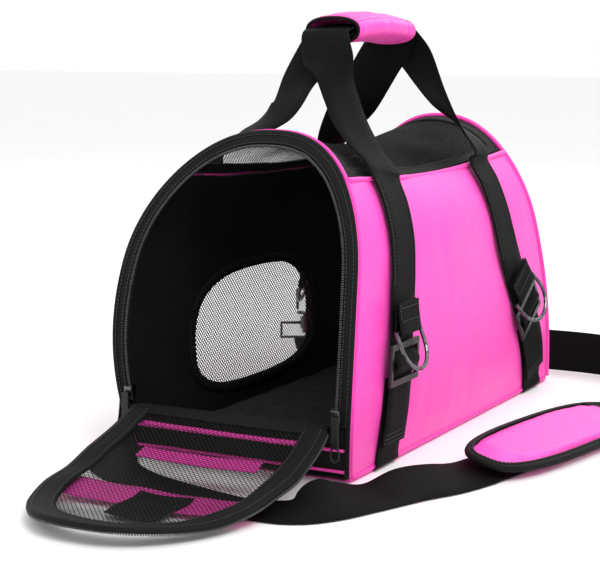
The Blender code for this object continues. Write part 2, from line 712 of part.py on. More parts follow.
def keeper(name, axis, out, up, ring_out):
    """A hairpin of webbing sewn to the strap, with the straight side of the D-ring in its fold."""
    wall = 0.0055 - ring_out
    round_bar = WIRE + GAP + 0.0008
    inner, outer = wall + 0.0016, wall + 0.0046
    side_view = [(0.0240, wall + 0.0014), (0.0160, inner), (0.0080, 0.45 * inner - 0.55 * round_bar * 0.87)]
    side_view += [(round_bar * math.sin(a), round_bar * math.cos(a))
                  for a in np.radians((150, 190, 230, 270, 310, 350, 390))]
    side_view += [(0.0090, 0.54 * outer + 0.46 * round_bar * 0.87), (0.0160, outer), (0.0240, wall + 0.0038)]
    points = [axis + up * rise + out * away for rise, away in side_view]
    ahead = np.gradient(np.array(side_view), axis=0)
    normals = [out * rise - up * away for rise, away in ahead]
    ribbon(f"ring_keeper_{name}", "black_webbing", points, normals, 30, KEEPER_WIDTH, 0.0012)


def straps():
    for end in ("front", "back"):
        base_strap(end)
    for side_name in SIDES:
        carrying_strap(side_name)
    grip()
    return {(side_name, end): buckle(side_name, end) for side_name in SIDES for end in ("front", "back")}


# ---- shoulder strap, its hooks and pad ----


def cylinder(name, slot, radius, low, high, where=None):
    """An upright cylinder between two points on one vertical."""
    bm = bmesh.new()
    bmesh.ops.create_cone(bm, cap_ends=True, segments=16, radius1=radius, radius2=radius,
                          depth=high.z - low.z)
    data = bpy.data.meshes.new(name)
    bm.to_mesh(data)
    bm.free()
    obj = finish(data, name, slot, where)
    obj.location = (low + high) / 2
    return obj


def union(obj, tool):
    both = obj.modifiers.new("join", "BOOLEAN")
    both.operation = "UNION"
    both.object = tool
    tool.hide_render = True
    tool.display_type = "WIRE"


def snap_hook(end, ring_wire):
    """A hook on the far side's ring: bow, sprung gate, swivel pin and the eye the strap is sewn to."""
    outwards, upwards = Vector((-1, 0, 0)), Vector((0, 0, 1))

    def at(lateral, rise):
        return ring_wire + outwards * lateral + upwards * rise

    top = 2 * WIRE + BOW_PLAY
    bottom = top - BOW_HEIGHT
    inner, corner = -BOW_HALF, BOW_CORNER
    flat = [(BOW_HALF, bottom)]
    for cx, cz, first in ((inner + corner, bottom + corner, -90), (inner + corner, top - corner, -180),
                          (BOW_HALF - corner, top - corner, -270)):
        flat += [(cx + corner * math.cos(a), cz + corner * math.sin(a))
                 for a in np.radians(np.linspace(first, first - 90, 6))]
    nose = bottom + 0.0155
    flat.append((BOW_HALF, nose))
    pin_top, pin_end = at(0, bottom), at(0, bottom - 0.0190)
    hook = cylinder(f"snap_hook_{end}", "dark_metal", 0.0020, pin_end, pin_top)
    join(hook, wire(f"hook_bow_{end}", "dark_metal", [at(a, b) for a, b in flat], WIRE, sides=2))
    knob = cylinder(f"hook_knob_{end}", "dark_metal", 0.0034, pin_end - upwards * 0.002,
                    pin_end + upwards * 0.0005, CUTTERS)
    union(hook, knob)
    gate_low, gate_high = at(BOW_HALF, bottom + WIRE + 0.0014 + GAP), at(BOW_HALF, nose - 0.0006)
    cylinder(f"hook_gate_{end}", "dark_metal", 0.0014, gate_low, gate_high)
    collar_low, collar_high = at(0, bottom - 0.0165), at(0, bottom - 0.0045)
    turn_y = -0.5 if end == "front" else 0.5
    bar = Vector((0.866, turn_y, 0))
    collar = cylinder(f"swivel_eye_{end}", "dark_metal", 0.0046, collar_low, collar_high)
    top_bar = (collar_low + collar_high) / 2
    loop = [top_bar + bar * a + upwards * b for a, b in
            ((-EYE_HALF, 0), (-EYE_HALF, -EYE_DROP), (EYE_HALF, -EYE_DROP), (EYE_HALF, 0), (0, 0))]
    join(collar, wire(f"eye_loop_{end}", "dark_metal", loop, WIRE, closed=True, sides=2))
    bore = cylinder(f"eye_bore_{end}", "dark_metal", 0.0026, collar_low - upwards * 0.008,
                    collar_high + upwards * 0.008, CUTTERS)
    cut(collar, bore)
    return top_bar - upwards * (EYE_DROP + WIRE + GAP)


# The strap's route on the floor from the front hook, under the open door, past the pad and behind
# the bag to the rear hook: x, y, and how far it leans up off its outer edge, in degrees.
ROUTE = [(-0.1285, -0.212, 0), (-0.122, -0.240, 0), (-0.103, -0.272, 0), (-0.072, -0.296, 0),
         (-0.035, -0.312, 0), (0.005, -0.323, 0), (0.040, -0.331, 0), (0.072, -0.336, 3),
         (0.105, -0.334, 10), (0.126, -0.316, 30), (0.136, -0.291, 20), (0.146, -0.265, 11),
         (0.159, -0.237, 21), (0.174, -0.209, 20), (0.183, -0.182, 14), (0.1885, -0.158, 12),
         (0.2000, -0.098, 12), (0.2110, -0.038, 12), (0.2220, 0.022, 12), (0.2330, 0.082, 12),
         (0.2385, 0.115, 12), (0.2420, 0.145, 13), (0.2400, 0.185, 28), (0.228, 0.222, 55),
         (0.204, 0.254, 78), (0.170, 0.276, 88), (0.130, 0.286, 90), (0.085, 0.287, 90),
         (0.040, 0.285, 90), (-0.005, 0.283, 90), (-0.048, 0.281, 80), (-0.086, 0.275, 42),
         (-0.116, 0.262, 14), (-0.134, 0.240, 1), (-0.139, 0.212, 0), (-0.139, 0.184, 0)]


def floor_run():
    """The strap's middle line on the floor, its outer edge 0.4 mm clear of it, and its facing."""
    rows = smooth(ROUTE, 130)
    heads = np.gradient(rows[:, :2], axis=0)
    run = []
    for (x, y, lean), head in zip(rows, heads):
        outer = Vector((head[1], -head[0], 0)).normalized()
        angle = math.radians(max(lean, 0.0))
        height = WEBBING_WIDTH / 2 * math.sin(angle) + WEBBING / 2 * math.cos(angle) + GAP
        run.append((Vector((x, y, height)), outer * math.sin(angle) + Vector((0, 0, math.cos(angle)))))
    return run


def shoulder_strap(front_eye, back_eye):
    leave, arrive = Vector((0.5, -0.866, 0)), Vector((0.5, 0.866, 0))
    start_run = [(front_eye, leave), (front_eye + Vector((0.0010, -0.0020, -0.0110)), leave),
                 (front_eye + Vector((0.0040, -0.0100, -0.0260)), leave + Vector((0, 0, 1))),
                 (Vector((-0.1335, -0.190, 0.0048)), Vector((0.1, -0.15, 1)))]
    end_run = [(Vector((-0.1390, 0.160, 0.0048)), Vector((0.1, 0.15, 1))),
               (back_eye + Vector((0.0030, 0.0100, -0.0260)), arrive + Vector((0, 0, 1))),
               (back_eye + Vector((0.0010, 0.0020, -0.0110)), arrive), (back_eye, arrive)]
    path = start_run + floor_run()[1:-1] + end_run
    ribbon("shoulder_strap", "black_webbing", [tuple(p) for p, _ in path],
           [tuple(n) for _, n in path], len(path), WEBBING_WIDTH, 0.0014)


def leaf(angle, grow, low=0.0):
    """A point on the shoulder pad's outline, this far above the pad's underside."""
    c, s = math.cos(angle), math.sin(angle)
    along = (PAD_LENGTH / 2 + grow) * math.copysign(abs(c) ** 0.8, c)
    across = (PAD_WIDTH / 2 + grow) * math.copysign(abs(s) ** 0.62, s)
    return PAD_CENTRE + PAD_DIRECTION * along + PAD_SIDE * across + PAD_UP * low


def slab(name, slot, around, grow, low, high):
    bm = bmesh.new()
    face = bm.faces.new([bm.verts.new(leaf(2 * math.pi * i / around, grow, low)) for i in range(around)])
    made = bmesh.ops.extrude_face_region(bm, geom=[face])
    moved = [item for item in made["geom"] if isinstance(item, bmesh.types.BMVert)]
    bmesh.ops.translate(bm, verts=moved, vec=PAD_UP * (high - low))
    bmesh.ops.recalc_face_normals(bm, faces=bm.faces)
    data = bpy.data.meshes.new(name)
    bm.to_mesh(data)
    bm.free()
    return finish(data, name, slot)


def pad():
    low = 0.0028
    slab("shoulder_pad", "pink_fabric", 36, -0.0060, low, low + PAD_THICKNESS)
    ring("pad_binding", "black_fabric", 36, lambda a, grow: leaf(a, grow, low + 0.0066), -0.0056, 0.0,
         0.0056, (PAD_CENTRE.x, PAD_CENTRE.y, -1))


def adjuster():
    centre = Vector((-0.139, 0.200, 0.0046))
    frame = box("strap_adjuster", "black_plastic", (0.054, 0.028, 0.0030), centre, bevel=0.0008)
    for side in (-1, 1):
        hole = box(f"adjuster_slot_{side}", "black_plastic", (WEBBING_WIDTH + 0.002, 0.0068, 0.02),
                   centre + Vector((0, side * 0.0060, 0)), where=CUTTERS)
        cut(frame, hole)


base()
walls()
roof()
ends()
door()
PULLS = {name: zipper_slider(name, side) for name, side in SIDES.items()}
RINGS = straps()
EYES = [snap_hook(end, RINGS["left", end][2]) for end in ("front", "back")]
shoulder_strap(*EYES)
pad()
adjuster()
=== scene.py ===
"""Looks of a soft-sided pet carrier bag: fabric, webbing, mesh, zipper and hardware round its CAD frame."""

import math

import bmesh
import bpy
import numpy as np
from mathutils import Matrix, Vector, noise


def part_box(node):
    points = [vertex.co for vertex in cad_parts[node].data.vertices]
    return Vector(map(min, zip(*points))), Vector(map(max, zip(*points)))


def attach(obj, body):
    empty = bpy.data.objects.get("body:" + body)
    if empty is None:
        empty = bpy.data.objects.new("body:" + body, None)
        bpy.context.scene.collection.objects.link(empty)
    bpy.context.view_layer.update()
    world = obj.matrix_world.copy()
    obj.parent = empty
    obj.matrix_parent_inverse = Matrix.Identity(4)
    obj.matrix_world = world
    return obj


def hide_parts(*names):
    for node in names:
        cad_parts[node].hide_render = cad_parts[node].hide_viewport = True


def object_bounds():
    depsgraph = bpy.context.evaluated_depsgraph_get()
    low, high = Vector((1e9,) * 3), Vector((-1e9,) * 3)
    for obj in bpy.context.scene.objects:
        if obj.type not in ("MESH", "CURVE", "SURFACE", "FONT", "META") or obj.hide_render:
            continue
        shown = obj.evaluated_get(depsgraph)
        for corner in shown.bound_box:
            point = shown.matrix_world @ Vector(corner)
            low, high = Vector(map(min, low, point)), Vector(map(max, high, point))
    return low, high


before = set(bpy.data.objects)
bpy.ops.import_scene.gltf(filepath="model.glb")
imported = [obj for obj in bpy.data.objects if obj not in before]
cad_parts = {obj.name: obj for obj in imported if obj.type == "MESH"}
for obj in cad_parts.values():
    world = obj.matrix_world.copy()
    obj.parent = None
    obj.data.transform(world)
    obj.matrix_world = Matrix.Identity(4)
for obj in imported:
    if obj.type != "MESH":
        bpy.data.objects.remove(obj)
CAD_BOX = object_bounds()

# ---- the bag's dimensions, as in its CAD source ----
HEIGHT = 0.280                 # base to the top of the arched section
HALF_LENGTH = 0.230            # at the base
HALF_WIDTH = 0.102             # at the base
WALL_BULGE = 0.012             # how far the side walls swell past the base
BULGE_HEIGHT = 0.115           # where they swell most
CROWN_HEIGHT = 0.168           # where the wall turns into the rounded crown
CROWN_POWER = 2.34             # superellipse exponent of the crown
FRONT_BELLY, FRONT_LEAN = 0.1086, 0.1666   # the front bellies out low down and leans back on top
BACK_LEAN, BACK_CURL = 0.0764, 0.020       # the back leans forward
BACK_NARROWING = 0.16          # how much narrower the top of the back end is
TOP_SAG = 0.018                # the mesh roof sags between its two hoops
SEAM_HEIGHT = 0.243            # top edge of the side panels
SILL_HEIGHT = 0.047            # height of the door hinge line
PANEL = 0.004                  # padded fabric
MESH = 0.0012                  # knitted mesh
WEBBING = 0.0016
WEBBING_WIDTH = 0.044
WIRE = 0.0018                  # radius of the rings' and hooks' wire
GAP = 0.0004                   # left between pieces that touch
STEP = 0.001                   # clearance between stacked curved layers

NET_PITCH = 0.0042             # width of one diamond of the knitted mesh

# ---- zipper and door ----
DOOR_EDGE = -0.0175            # the door's edge, in from the outline
DOOR_BINDING = 0.020
BAND_LOW, BAND_HIGH = 0.154, 0.186   # the pink band under the door's mesh
PATCH_X, PATCH_Z = (-0.018, 0.030), (0.168, 0.216)
PATCH_DROP = 0.006             # the cloth patch sits this much nearer the hinge than the CAD one
DOOR_OPEN_ANGLE = math.radians(114.5)
HINGE_Z = SILL_HEIGHT + 0.0015

# ---- carrying straps ----
FRONT_STRAP_Y = -0.167
BUCKLE_Z = 0.092               # centre of each buckle
BUCKLE_HEIGHT, BUCKLE_BAR = 0.036, 0.0055
RING_AXIS_UP = 0.0275          # ring hinge above the buckle's centre
RING_OUT = {1: 0.0100, -1: 0.0145}  # out from the wall; further where a hook needs room
KEEPER_WIDTH = 0.040
TAIL_END_Z = 0.022
GRIP_Y = (-0.078, 0.064)
GRIP_Z = 0.366

# ---- shoulder strap ----
PAD_LENGTH, PAD_WIDTH, PAD_THICKNESS = 0.240, 0.074, 0.008
PAD_UNDERSIDE = 0.0028         # above the webbing that it rides on
PAD_LEAN = math.radians(12)    # the pad's edge nearer the bag is lifted
PAD_DIRECTION = Vector((0.174, 0.985, 0.0)).normalized()
PAD_SIDE = Vector((PAD_DIRECTION.y * math.cos(PAD_LEAN), -PAD_DIRECTION.x * math.cos(PAD_LEAN),
                   -math.sin(PAD_LEAN)))
PAD_UP = PAD_SIDE.cross(PAD_DIRECTION)
PAD_CENTRE = Vector((0.2110, -0.052, PAD_WIDTH / 2 * math.sin(PAD_LEAN)))


def half_width(z):
    """Half the bag's width at this height, on its front end."""
    wall = HALF_WIDTH + WALL_BULGE * math.sin(math.pi / 2 * z / BULGE_HEIGHT)
    crown = min(max((z - CROWN_HEIGHT) / (HEIGHT - CROWN_HEIGHT), 0.0), 1.0)
    return wall * (1 - crown**CROWN_POWER) ** (1 / CROWN_POWER)


def front_y(z):
    up = z / HEIGHT
    return -HALF_LENGTH - FRONT_BELLY * up + FRONT_LEAN * up * up


def back_y(z):
    up = z / HEIGHT
    return HALF_LENGTH - BACK_LEAN * up + BACK_CURL * up * up


def arch(t):
    """(x, z) on the section's outline: t is 0 at the right foot, 0.5 on top, 1 at the left foot."""
    up = 1 - abs(2 * t - 1)
    side = 1 if t <= 0.5 else -1
    if up < 0.5:
        z = CROWN_HEIGHT * up / 0.5
    else:
        z = CROWN_HEIGHT + (HEIGHT - CROWN_HEIGHT) * math.sin((up - 0.5) * math.pi) ** (2 / CROWN_POWER)
    return side * half_width(min(z, HEIGHT)), z


def arch_at(z):
    """t of the right-hand point of this height."""
    if z < CROWN_HEIGHT:
        return 0.25 * z / CROWN_HEIGHT
    rise = (z - CROWN_HEIGHT) / (HEIGHT - CROWN_HEIGHT)
    return 0.25 + math.asin(rise ** (CROWN_POWER / 2)) / (2 * math.pi)


def section(t, out=0.0):
    """A point of the outline moved outwards, square to it."""
    x, z = arch(t)
    before, after = arch(max(t - 0.004, 0.0)), arch(min(t + 0.004, 1.0))
    normal = Vector((after[1] - before[1], before[0] - after[0])).normalized()
    return x + out * normal.x, z + out * normal.y


def shell(t, v, out=0.0):
    """A point of the bag's skin: v is 0 on the front edge and 1 on the back edge."""
    x, z = section(t, out)
    y = front_y(z) * (1 - v) + back_y(z) * v
    rise = min(max((z - CROWN_HEIGHT) / (HEIGHT - CROWN_HEIGHT), 0.0), 1.0)
    x *= 1 - BACK_NARROWING * z / HEIGHT * v
    return Vector((x, y, z - TOP_SAG * math.sin(math.pi * min(max(v, 0.0), 1.0)) * rise * rise))


def wall_point(side, y, z, out):
    """A point out from the side wall, with the wall's outward direction there."""
    v = (y - front_y(z)) / (back_y(z) - front_y(z))
    narrow = 1 - BACK_NARROWING * z / HEIGHT * v
    slope = (half_width(z + 0.002) - half_width(z - 0.002)) / 0.004 * narrow
    normal = Vector((side, 0, -slope)).normalized()
    return Vector((side * half_width(z) * narrow, y, z)) + out * normal, normal


def smooth(points, count):
    """Points evenly spaced by parameter on a Catmull-Rom curve through these."""
    rows = np.array(points, float)
    rows = np.vstack([2 * rows[0] - rows[1], rows, 2 * rows[-1] - rows[-2]])
    made = []
    for step in np.linspace(0, len(points) - 1, count):
        i = min(int(step), len(points) - 2)
        t = step - i
        a, b, c, d = rows[i : i + 4]
        made.append(0.5 * (2 * b + (c - a) * t + (2 * a - 5 * b + 4 * c - d) * t * t
                           + (3 * b - a - 3 * c + d) * t**3))
    return np.array(made)


WINDOW_Y, WINDOW_HALF = -0.021, 0.112
WINDOW_LOW, WINDOW_HIGH = 0.032, 0.142


def window_edge(angle, grow=0.0):
    """(y, z) on the arched outline of the side window."""
    c, s = math.cos(angle), math.sin(angle)
    y = WINDOW_Y + (WINDOW_HALF + grow) * math.copysign(abs(c) ** 0.7, c)
    middle = WINDOW_LOW + 0.35 * (WINDOW_HIGH - WINDOW_LOW)
    reach = (WINDOW_HIGH - middle if s > 0 else middle - WINDOW_LOW) + grow
    return y, middle + reach * math.copysign(abs(s) ** 0.7, s)


def left_point(y, z, out):
    return wall_point(-1, y, z, out)[0]


def end_outline(t, out, end_y, push):
    """A point of an end's edge, moved in from the outline and pushed along Y."""
    x, z = section(t, out)
    if end_y is back_y:
        x *= 1 - BACK_NARROWING * z / HEIGHT
    return Vector((x, end_y(z) + push, z))


HINGE = Vector((0.0, front_y(SILL_HEIGHT) - 0.0040, HINGE_Z))
DOOR_LOW, DOOR_HIGH = SILL_HEIGHT + 0.0060, HEIGHT + DOOR_EDGE
OPENED = Matrix.Translation(HINGE) @ Matrix.Rotation(DOOR_OPEN_ANGLE, 4, "X") @ Matrix.Translation(-HINGE)


def door_point(x, z, out):
    """A point of the door, given where it is when the door is shut and lifted off its outer face."""
    return OPENED @ Vector((x, front_y(z) - 0.0026 - out, z))


def door_edge(t, inwards=0.0):
    x, z = section(t, DOOR_EDGE - inwards)
    return x, z


def back_strap_y(z):
    """The rear strap slants: it meets the base further back than the roof."""
    s = min(z / 0.20, 1.0)
    u = min(max((z - 0.11) / 0.09, 0.0), 1.0)
    return 0.178 - 0.100 * s * s * (3 - 2 * s) + 0.011 * u * u * (3 - 2 * u)


def front_strap_y(z):
    """The front strap is upright at its buckle and slants back above it."""
    return FRONT_STRAP_Y + 0.035 * max((z - 0.107) / 0.136, 0.0) ** 1.3


STRAP_Y = {"front": front_strap_y, "back": back_strap_y}
# The free run of each strap from the roof's edge to the grip's end, and the way it faces there.
RUNS = {
    ("right", "front"): [((0.0805, -0.1300, 0.2500), (0.80, -0.08, 0.60)),
                         ((0.0590, -0.1185, 0.2655), (0.80, -0.16, 0.58)),
                         ((0.0410, -0.1095, 0.2840), (0.82, -0.25, 0.50)),
                         ((0.0285, -0.1030, 0.3050), (0.86, -0.28, 0.42)),
                         ((0.0190, -0.1005, 0.3270), (0.83, -0.38, 0.40)),
                         ((0.0100, -0.0955, 0.3455), (0.24, -0.90, 0.38))],
    ("right", "back"): [((0.0800, 0.0885, 0.2535), (0.80, 0.10, 0.60)),
                        ((0.0630, 0.0820, 0.2740), (0.84, 0.38, 0.42)),
                        ((0.0440, 0.0765, 0.2990), (0.70, 0.66, 0.28)),
                        ((0.0180, 0.0805, 0.3360), (0.24, 0.90, 0.35))],
    ("left", "front"): [((-0.0865, -0.1340, 0.2555), (-0.62, -0.12, 0.78)),
                        ((-0.0620, -0.1380, 0.2690), (-0.42, -0.30, 0.85)),
                        ((-0.0400, -0.1360, 0.2800), (-0.32, -0.36, 0.87)),
                        ((-0.0225, -0.1310, 0.2905), (-0.38, -0.66, 0.63)),
                        ((-0.0140, -0.1220, 0.3030), (-0.35, -0.85, 0.40)),
                        ((-0.0130, -0.0980, 0.3240), (-0.14, -0.90, 0.40)),
                        ((-0.0080, -0.0790, 0.3460), (-0.05, -0.88, 0.45))],
    ("left", "back"): [((-0.0800, 0.0895, 0.2560), (-0.55, 0.15, 0.80)),
                       ((-0.0620, 0.0830, 0.2800), (-0.40, 0.55, 0.60)),
                       ((-0.0400, 0.0730, 0.3050), (-0.20, 0.85, 0.35)),
                       ((-0.0160, 0.0640, 0.3360), (-0.10, 0.90, 0.40))],
}
SIDES = {"right": 1, "left": -1}


def buckle_frame(side, end):
    """Where this buckle sits: its centre on the wall, the way out, and the way up the strap."""
    y_of = STRAP_Y[end]
    low, _ = wall_point(side, y_of(BUCKLE_Z - 0.015), BUCKLE_Z - 0.015, 0)
    high, _ = wall_point(side, y_of(BUCKLE_Z + 0.015), BUCKLE_Z + 0.015, 0)
    at, out = wall_point(side, y_of(BUCKLE_Z), BUCKLE_Z, 0)
    up = (high - low).normalized()
    out = (out - up * out.dot(up)).normalized()
    return at, out, up


def strap_leg(side_name, end):
    """One end of a carrying strap: hemmed tail, through the buckle, up the wall and to the grip."""
    side = SIDES[side_name]
    y_of = STRAP_Y[end]
    leg = []
    for z, out in ((TAIL_END_Z, 0.0052), (0.034, 0.0052), (0.046, 0.0054), (0.060, 0.0052)):
        leg.append(wall_point(side, y_of(z), z, out))
    at, out_dir, up = buckle_frame(side, end)
    pitch = (BUCKLE_HEIGHT - BUCKLE_BAR) / 2
    for rise, out in ((-pitch - 0.003, 0.0048), (-pitch + 0.0032, 0.0052), (-0.0030, 0.0110),
                      (0.0030, 0.0110), (pitch - 0.0032, 0.0052), (pitch + 0.003, 0.0048)):
        leg.append((at + up * rise + out_dir * out, out_dir))
    for z in (0.122, 0.145, 0.170, 0.195, 0.220, 0.238):
        leg.append(wall_point(side, y_of(z), z, 0.0046))
    leg += [(Vector(p), Vector(n)) for p, n in RUNS[side_name, end]]
    return leg


def grip_middle(y):
    """Height of the middle of the grip, which arches a little."""
    part = (2 * y - GRIP_Y[0] - GRIP_Y[1]) / (GRIP_Y[1] - GRIP_Y[0])
    return GRIP_Z + 0.0025 - 0.0055 * part * part


GRIP_HALF_WIDTH, GRIP_HALF_HEIGHT = 0.0275, 0.0120
WRAP_Y = (-0.0655, 0.0535)


def grip_point(angle, y):
    c, s = math.cos(angle), math.sin(angle)
    return Vector((GRIP_HALF_WIDTH * math.copysign(abs(c) ** 0.85, c), y,
                   grip_middle(y) + GRIP_HALF_HEIGHT * math.copysign(abs(s) ** 0.85, s)))


# The strap's route on the floor from the front hook, under the open door, past the pad and behind
# the bag to the rear hook: x, y, and how far it leans up off its outer edge, in degrees.
ROUTE = [(-0.1285, -0.212, 0), (-0.122, -0.240, 0), (-0.103, -0.272, 0), (-0.072, -0.296, 0),
         (-0.035, -0.312, 0), (0.005, -0.323, 0), (0.040, -0.331, 0), (0.072, -0.336, 3),
         (0.105, -0.334, 10), (0.126, -0.316, 30), (0.136, -0.291, 20), (0.146, -0.265, 11),
         (0.159, -0.237, 21), (0.174, -0.209, 20), (0.183, -0.182, 14), (0.1885, -0.158, 12),
         (0.2000, -0.098, 12), (0.2110, -0.038, 12), (0.2220, 0.022, 12), (0.2330, 0.082, 12),
         (0.2385, 0.115, 12), (0.2420, 0.145, 13), (0.2400, 0.185, 28), (0.228, 0.222, 55),
         (0.204, 0.254, 78), (0.170, 0.276, 88), (0.130, 0.286, 90), (0.085, 0.287, 90),
         (0.040, 0.285, 90), (-0.005, 0.283, 90), (-0.048, 0.281, 80), (-0.086, 0.275, 42),
         (-0.116, 0.262, 14), (-0.134, 0.240, 1), (-0.139, 0.212, 0), (-0.139, 0.184, 0)]


def floor_run():
    """The strap's middle line on the floor, its outer edge 0.4 mm clear of it, and its facing."""
    rows = smooth(ROUTE, 130)
    heads = np.gradient(rows[:, :2], axis=0)
    run = []
    for (x, y, lean), head in zip(rows, heads):
        outer = Vector((head[1], -head[0], 0)).normalized()
        angle = math.radians(max(lean, 0.0))
        height = WEBBING_WIDTH / 2 * math.sin(angle) + WEBBING / 2 * math.cos(angle) + GAP
        run.append((Vector((x, y, height)), outer * math.sin(angle) + Vector((0, 0, math.cos(angle)))))
    return run


def leaf(angle, grow, low):
    """A point on the shoulder pad's outline, this far along PAD_UP from the plane through PAD_CENTRE."""
    c, s = math.cos(angle), math.sin(angle)
    along = (PAD_LENGTH / 2 + grow) * math.copysign(abs(c) ** 0.8, c)
    across = (PAD_WIDTH / 2 + grow) * math.copysign(abs(s) ** 0.62, s)
    return PAD_CENTRE + PAD_DIRECTION * along + PAD_SIDE * across + PAD_UP * low

# ---- materials ----


class Nodes:
    """Builds one procedural material."""

    def __init__(self, name, colour, roughness, **settings):
        self.made = bpy.data.materials.new(name)
        self.made.use_nodes = True
        self.tree = self.made.node_tree
        self.shader = self.tree.nodes["Principled BSDF"]
        self.shader.inputs["Roughness"].default_value = roughness
        self.shader.inputs["Base Color"].default_value = (*colour, 1.0)
        for key, value in settings.items():
            self.shader.inputs[key.replace("_", " ").title().replace("Ior", "IOR")].default_value = value
        self.colour = colour
        self.place = self.tree.nodes.new("ShaderNodeTexCoord")

    def node(self, kind, **inputs):
        made = self.tree.nodes.new(kind)
        for key, value in inputs.items():
            made.inputs[key.replace("_", " ")].default_value = value
        return made

    def link(self, a, b):
        self.tree.links.new(a, b)

    def noise(self, coords, scale, detail=3.0, roughness=0.55):
        made = self.node("ShaderNodeTexNoise", Scale=scale, Detail=detail, Roughness=roughness)
        self.link(self.place.outputs[coords], made.inputs["Vector"])
        return made.outputs["Fac"]

    def bands(self, coords, pitch, direction, distortion=0.0):
        """Parallel ridges this far apart, from 0 to 1."""
        made = self.node("ShaderNodeTexWave", Scale=math.pi / 10 / pitch, Distortion=distortion)
        made.bands_direction = direction
        self.link(self.place.outputs[coords], made.inputs["Vector"])
        return made.outputs["Fac"]

    def math(self, operation, a, b):
        made = self.tree.nodes.new("ShaderNodeMath")
        made.operation = operation
        for value, socket in ((a, made.inputs[0]), (b, made.inputs[1])):
            if isinstance(value, (int, float)):
                socket.default_value = value
            else:
                self.link(value, socket)
        return made.outputs[0]

    def tint(self, factor, dark, light):
        """Base colour that runs from dark to light times the colour as factor goes from 0.3 to 0.7."""
        ramp = self.tree.nodes.new("ShaderNodeValToRGB")
        for element, share, at in zip(ramp.color_ramp.elements, (dark, light), (0.3, 0.7)):
            element.position = at
            element.color = (*[min(c * share, 1.0) for c in self.colour], 1.0)
        self.link(factor, ramp.inputs["Fac"])
        self.link(ramp.outputs["Color"], self.shader.inputs["Base Color"])

    def rough(self, factor, low, high):
        made = self.node("ShaderNodeMapRange", From_Min=0.3, From_Max=0.7, To_Min=low, To_Max=high)
        self.link(factor, made.inputs["Value"])
        self.link(made.outputs["Result"], self.shader.inputs["Roughness"])

    def bump(self, height, distance, strength=0.6):
        made = self.node("ShaderNodeBump", Strength=strength, Distance=distance)
        self.link(height, made.inputs["Height"])
        self.link(made.outputs["Normal"], self.shader.inputs["Normal"])


def woven(name, colour, roughness, coords, pitch, axes, depth, variation=(0.9, 1.1), **settings):
    """Plain weave: warp and weft ridges, slight fading and an uneven thread."""
    made = Nodes(name, colour, roughness, **settings)
    warp = made.bands(coords, pitch, axes[0], 0.4)
    weft = made.bands(coords, pitch, axes[1], 0.4)
    weave = made.math("MULTIPLY", made.math("ADD", warp, weft), 0.5)
    fuzz = made.noise(coords, 0.35 / pitch, 2.0)
    cloudy = made.noise(coords, 14.0, 4.0)
    height = made.math("ADD", weave, made.math("MULTIPLY", fuzz, 0.7))
    made.bump(height, depth)
    made.tint(made.math("ADD", made.math("MULTIPLY", cloudy, 0.75), made.math("MULTIPLY", weave, 0.25)),
              *variation)
    made.rough(made.math("MULTIPLY", made.math("ADD", fuzz, cloudy), 0.5), roughness - 0.06, roughness + 0.06)
    return made.made


def ribbed(name, colour, roughness):
    """Webbing: fine ribs across it with a finer slanting thread."""
    made = Nodes(name, colour, roughness, sheen_weight=0.0, sheen_roughness=0.4, specular_ior_level=0.05)
    ribs = made.bands("UV", 0.0016, "X", 0.3)
    thread = made.bands("UV", 0.0009, "DIAGONAL", 0.2)
    fuzz = made.noise("UV", 900.0, 2.0)
    height = made.math("ADD", ribs, made.math("MULTIPLY", thread, 0.35))
    made.bump(made.math("ADD", height, made.math("MULTIPLY", fuzz, 0.4)), 0.00035, 0.8)
    made.tint(made.math("ADD", made.math("MULTIPLY", ribs, 0.5),
                        made.math("MULTIPLY", made.noise("UV", 45.0, 4.0), 0.5)), 0.62, 1.40)
    made.rough(fuzz, roughness - 0.08, roughness + 0.08)
    return made.made


def moulded(name, colour, roughness, grain, metallic=0.0, coords="Object", **settings):
    """Plastic or metal with a fine grain and slightly uneven gloss."""
    made = Nodes(name, colour, roughness, **settings)
    made.shader.inputs["Metallic"].default_value = metallic
    speck = made.noise(coords, 2400.0, 2.0)
    worn = made.noise(coords, 120.0, 5.0)
    made.bump(speck, grain, 0.35)
    made.tint(worn, 0.75, 1.3)
    made.rough(worn, roughness - 0.08, roughness + 0.10)
    return made.made


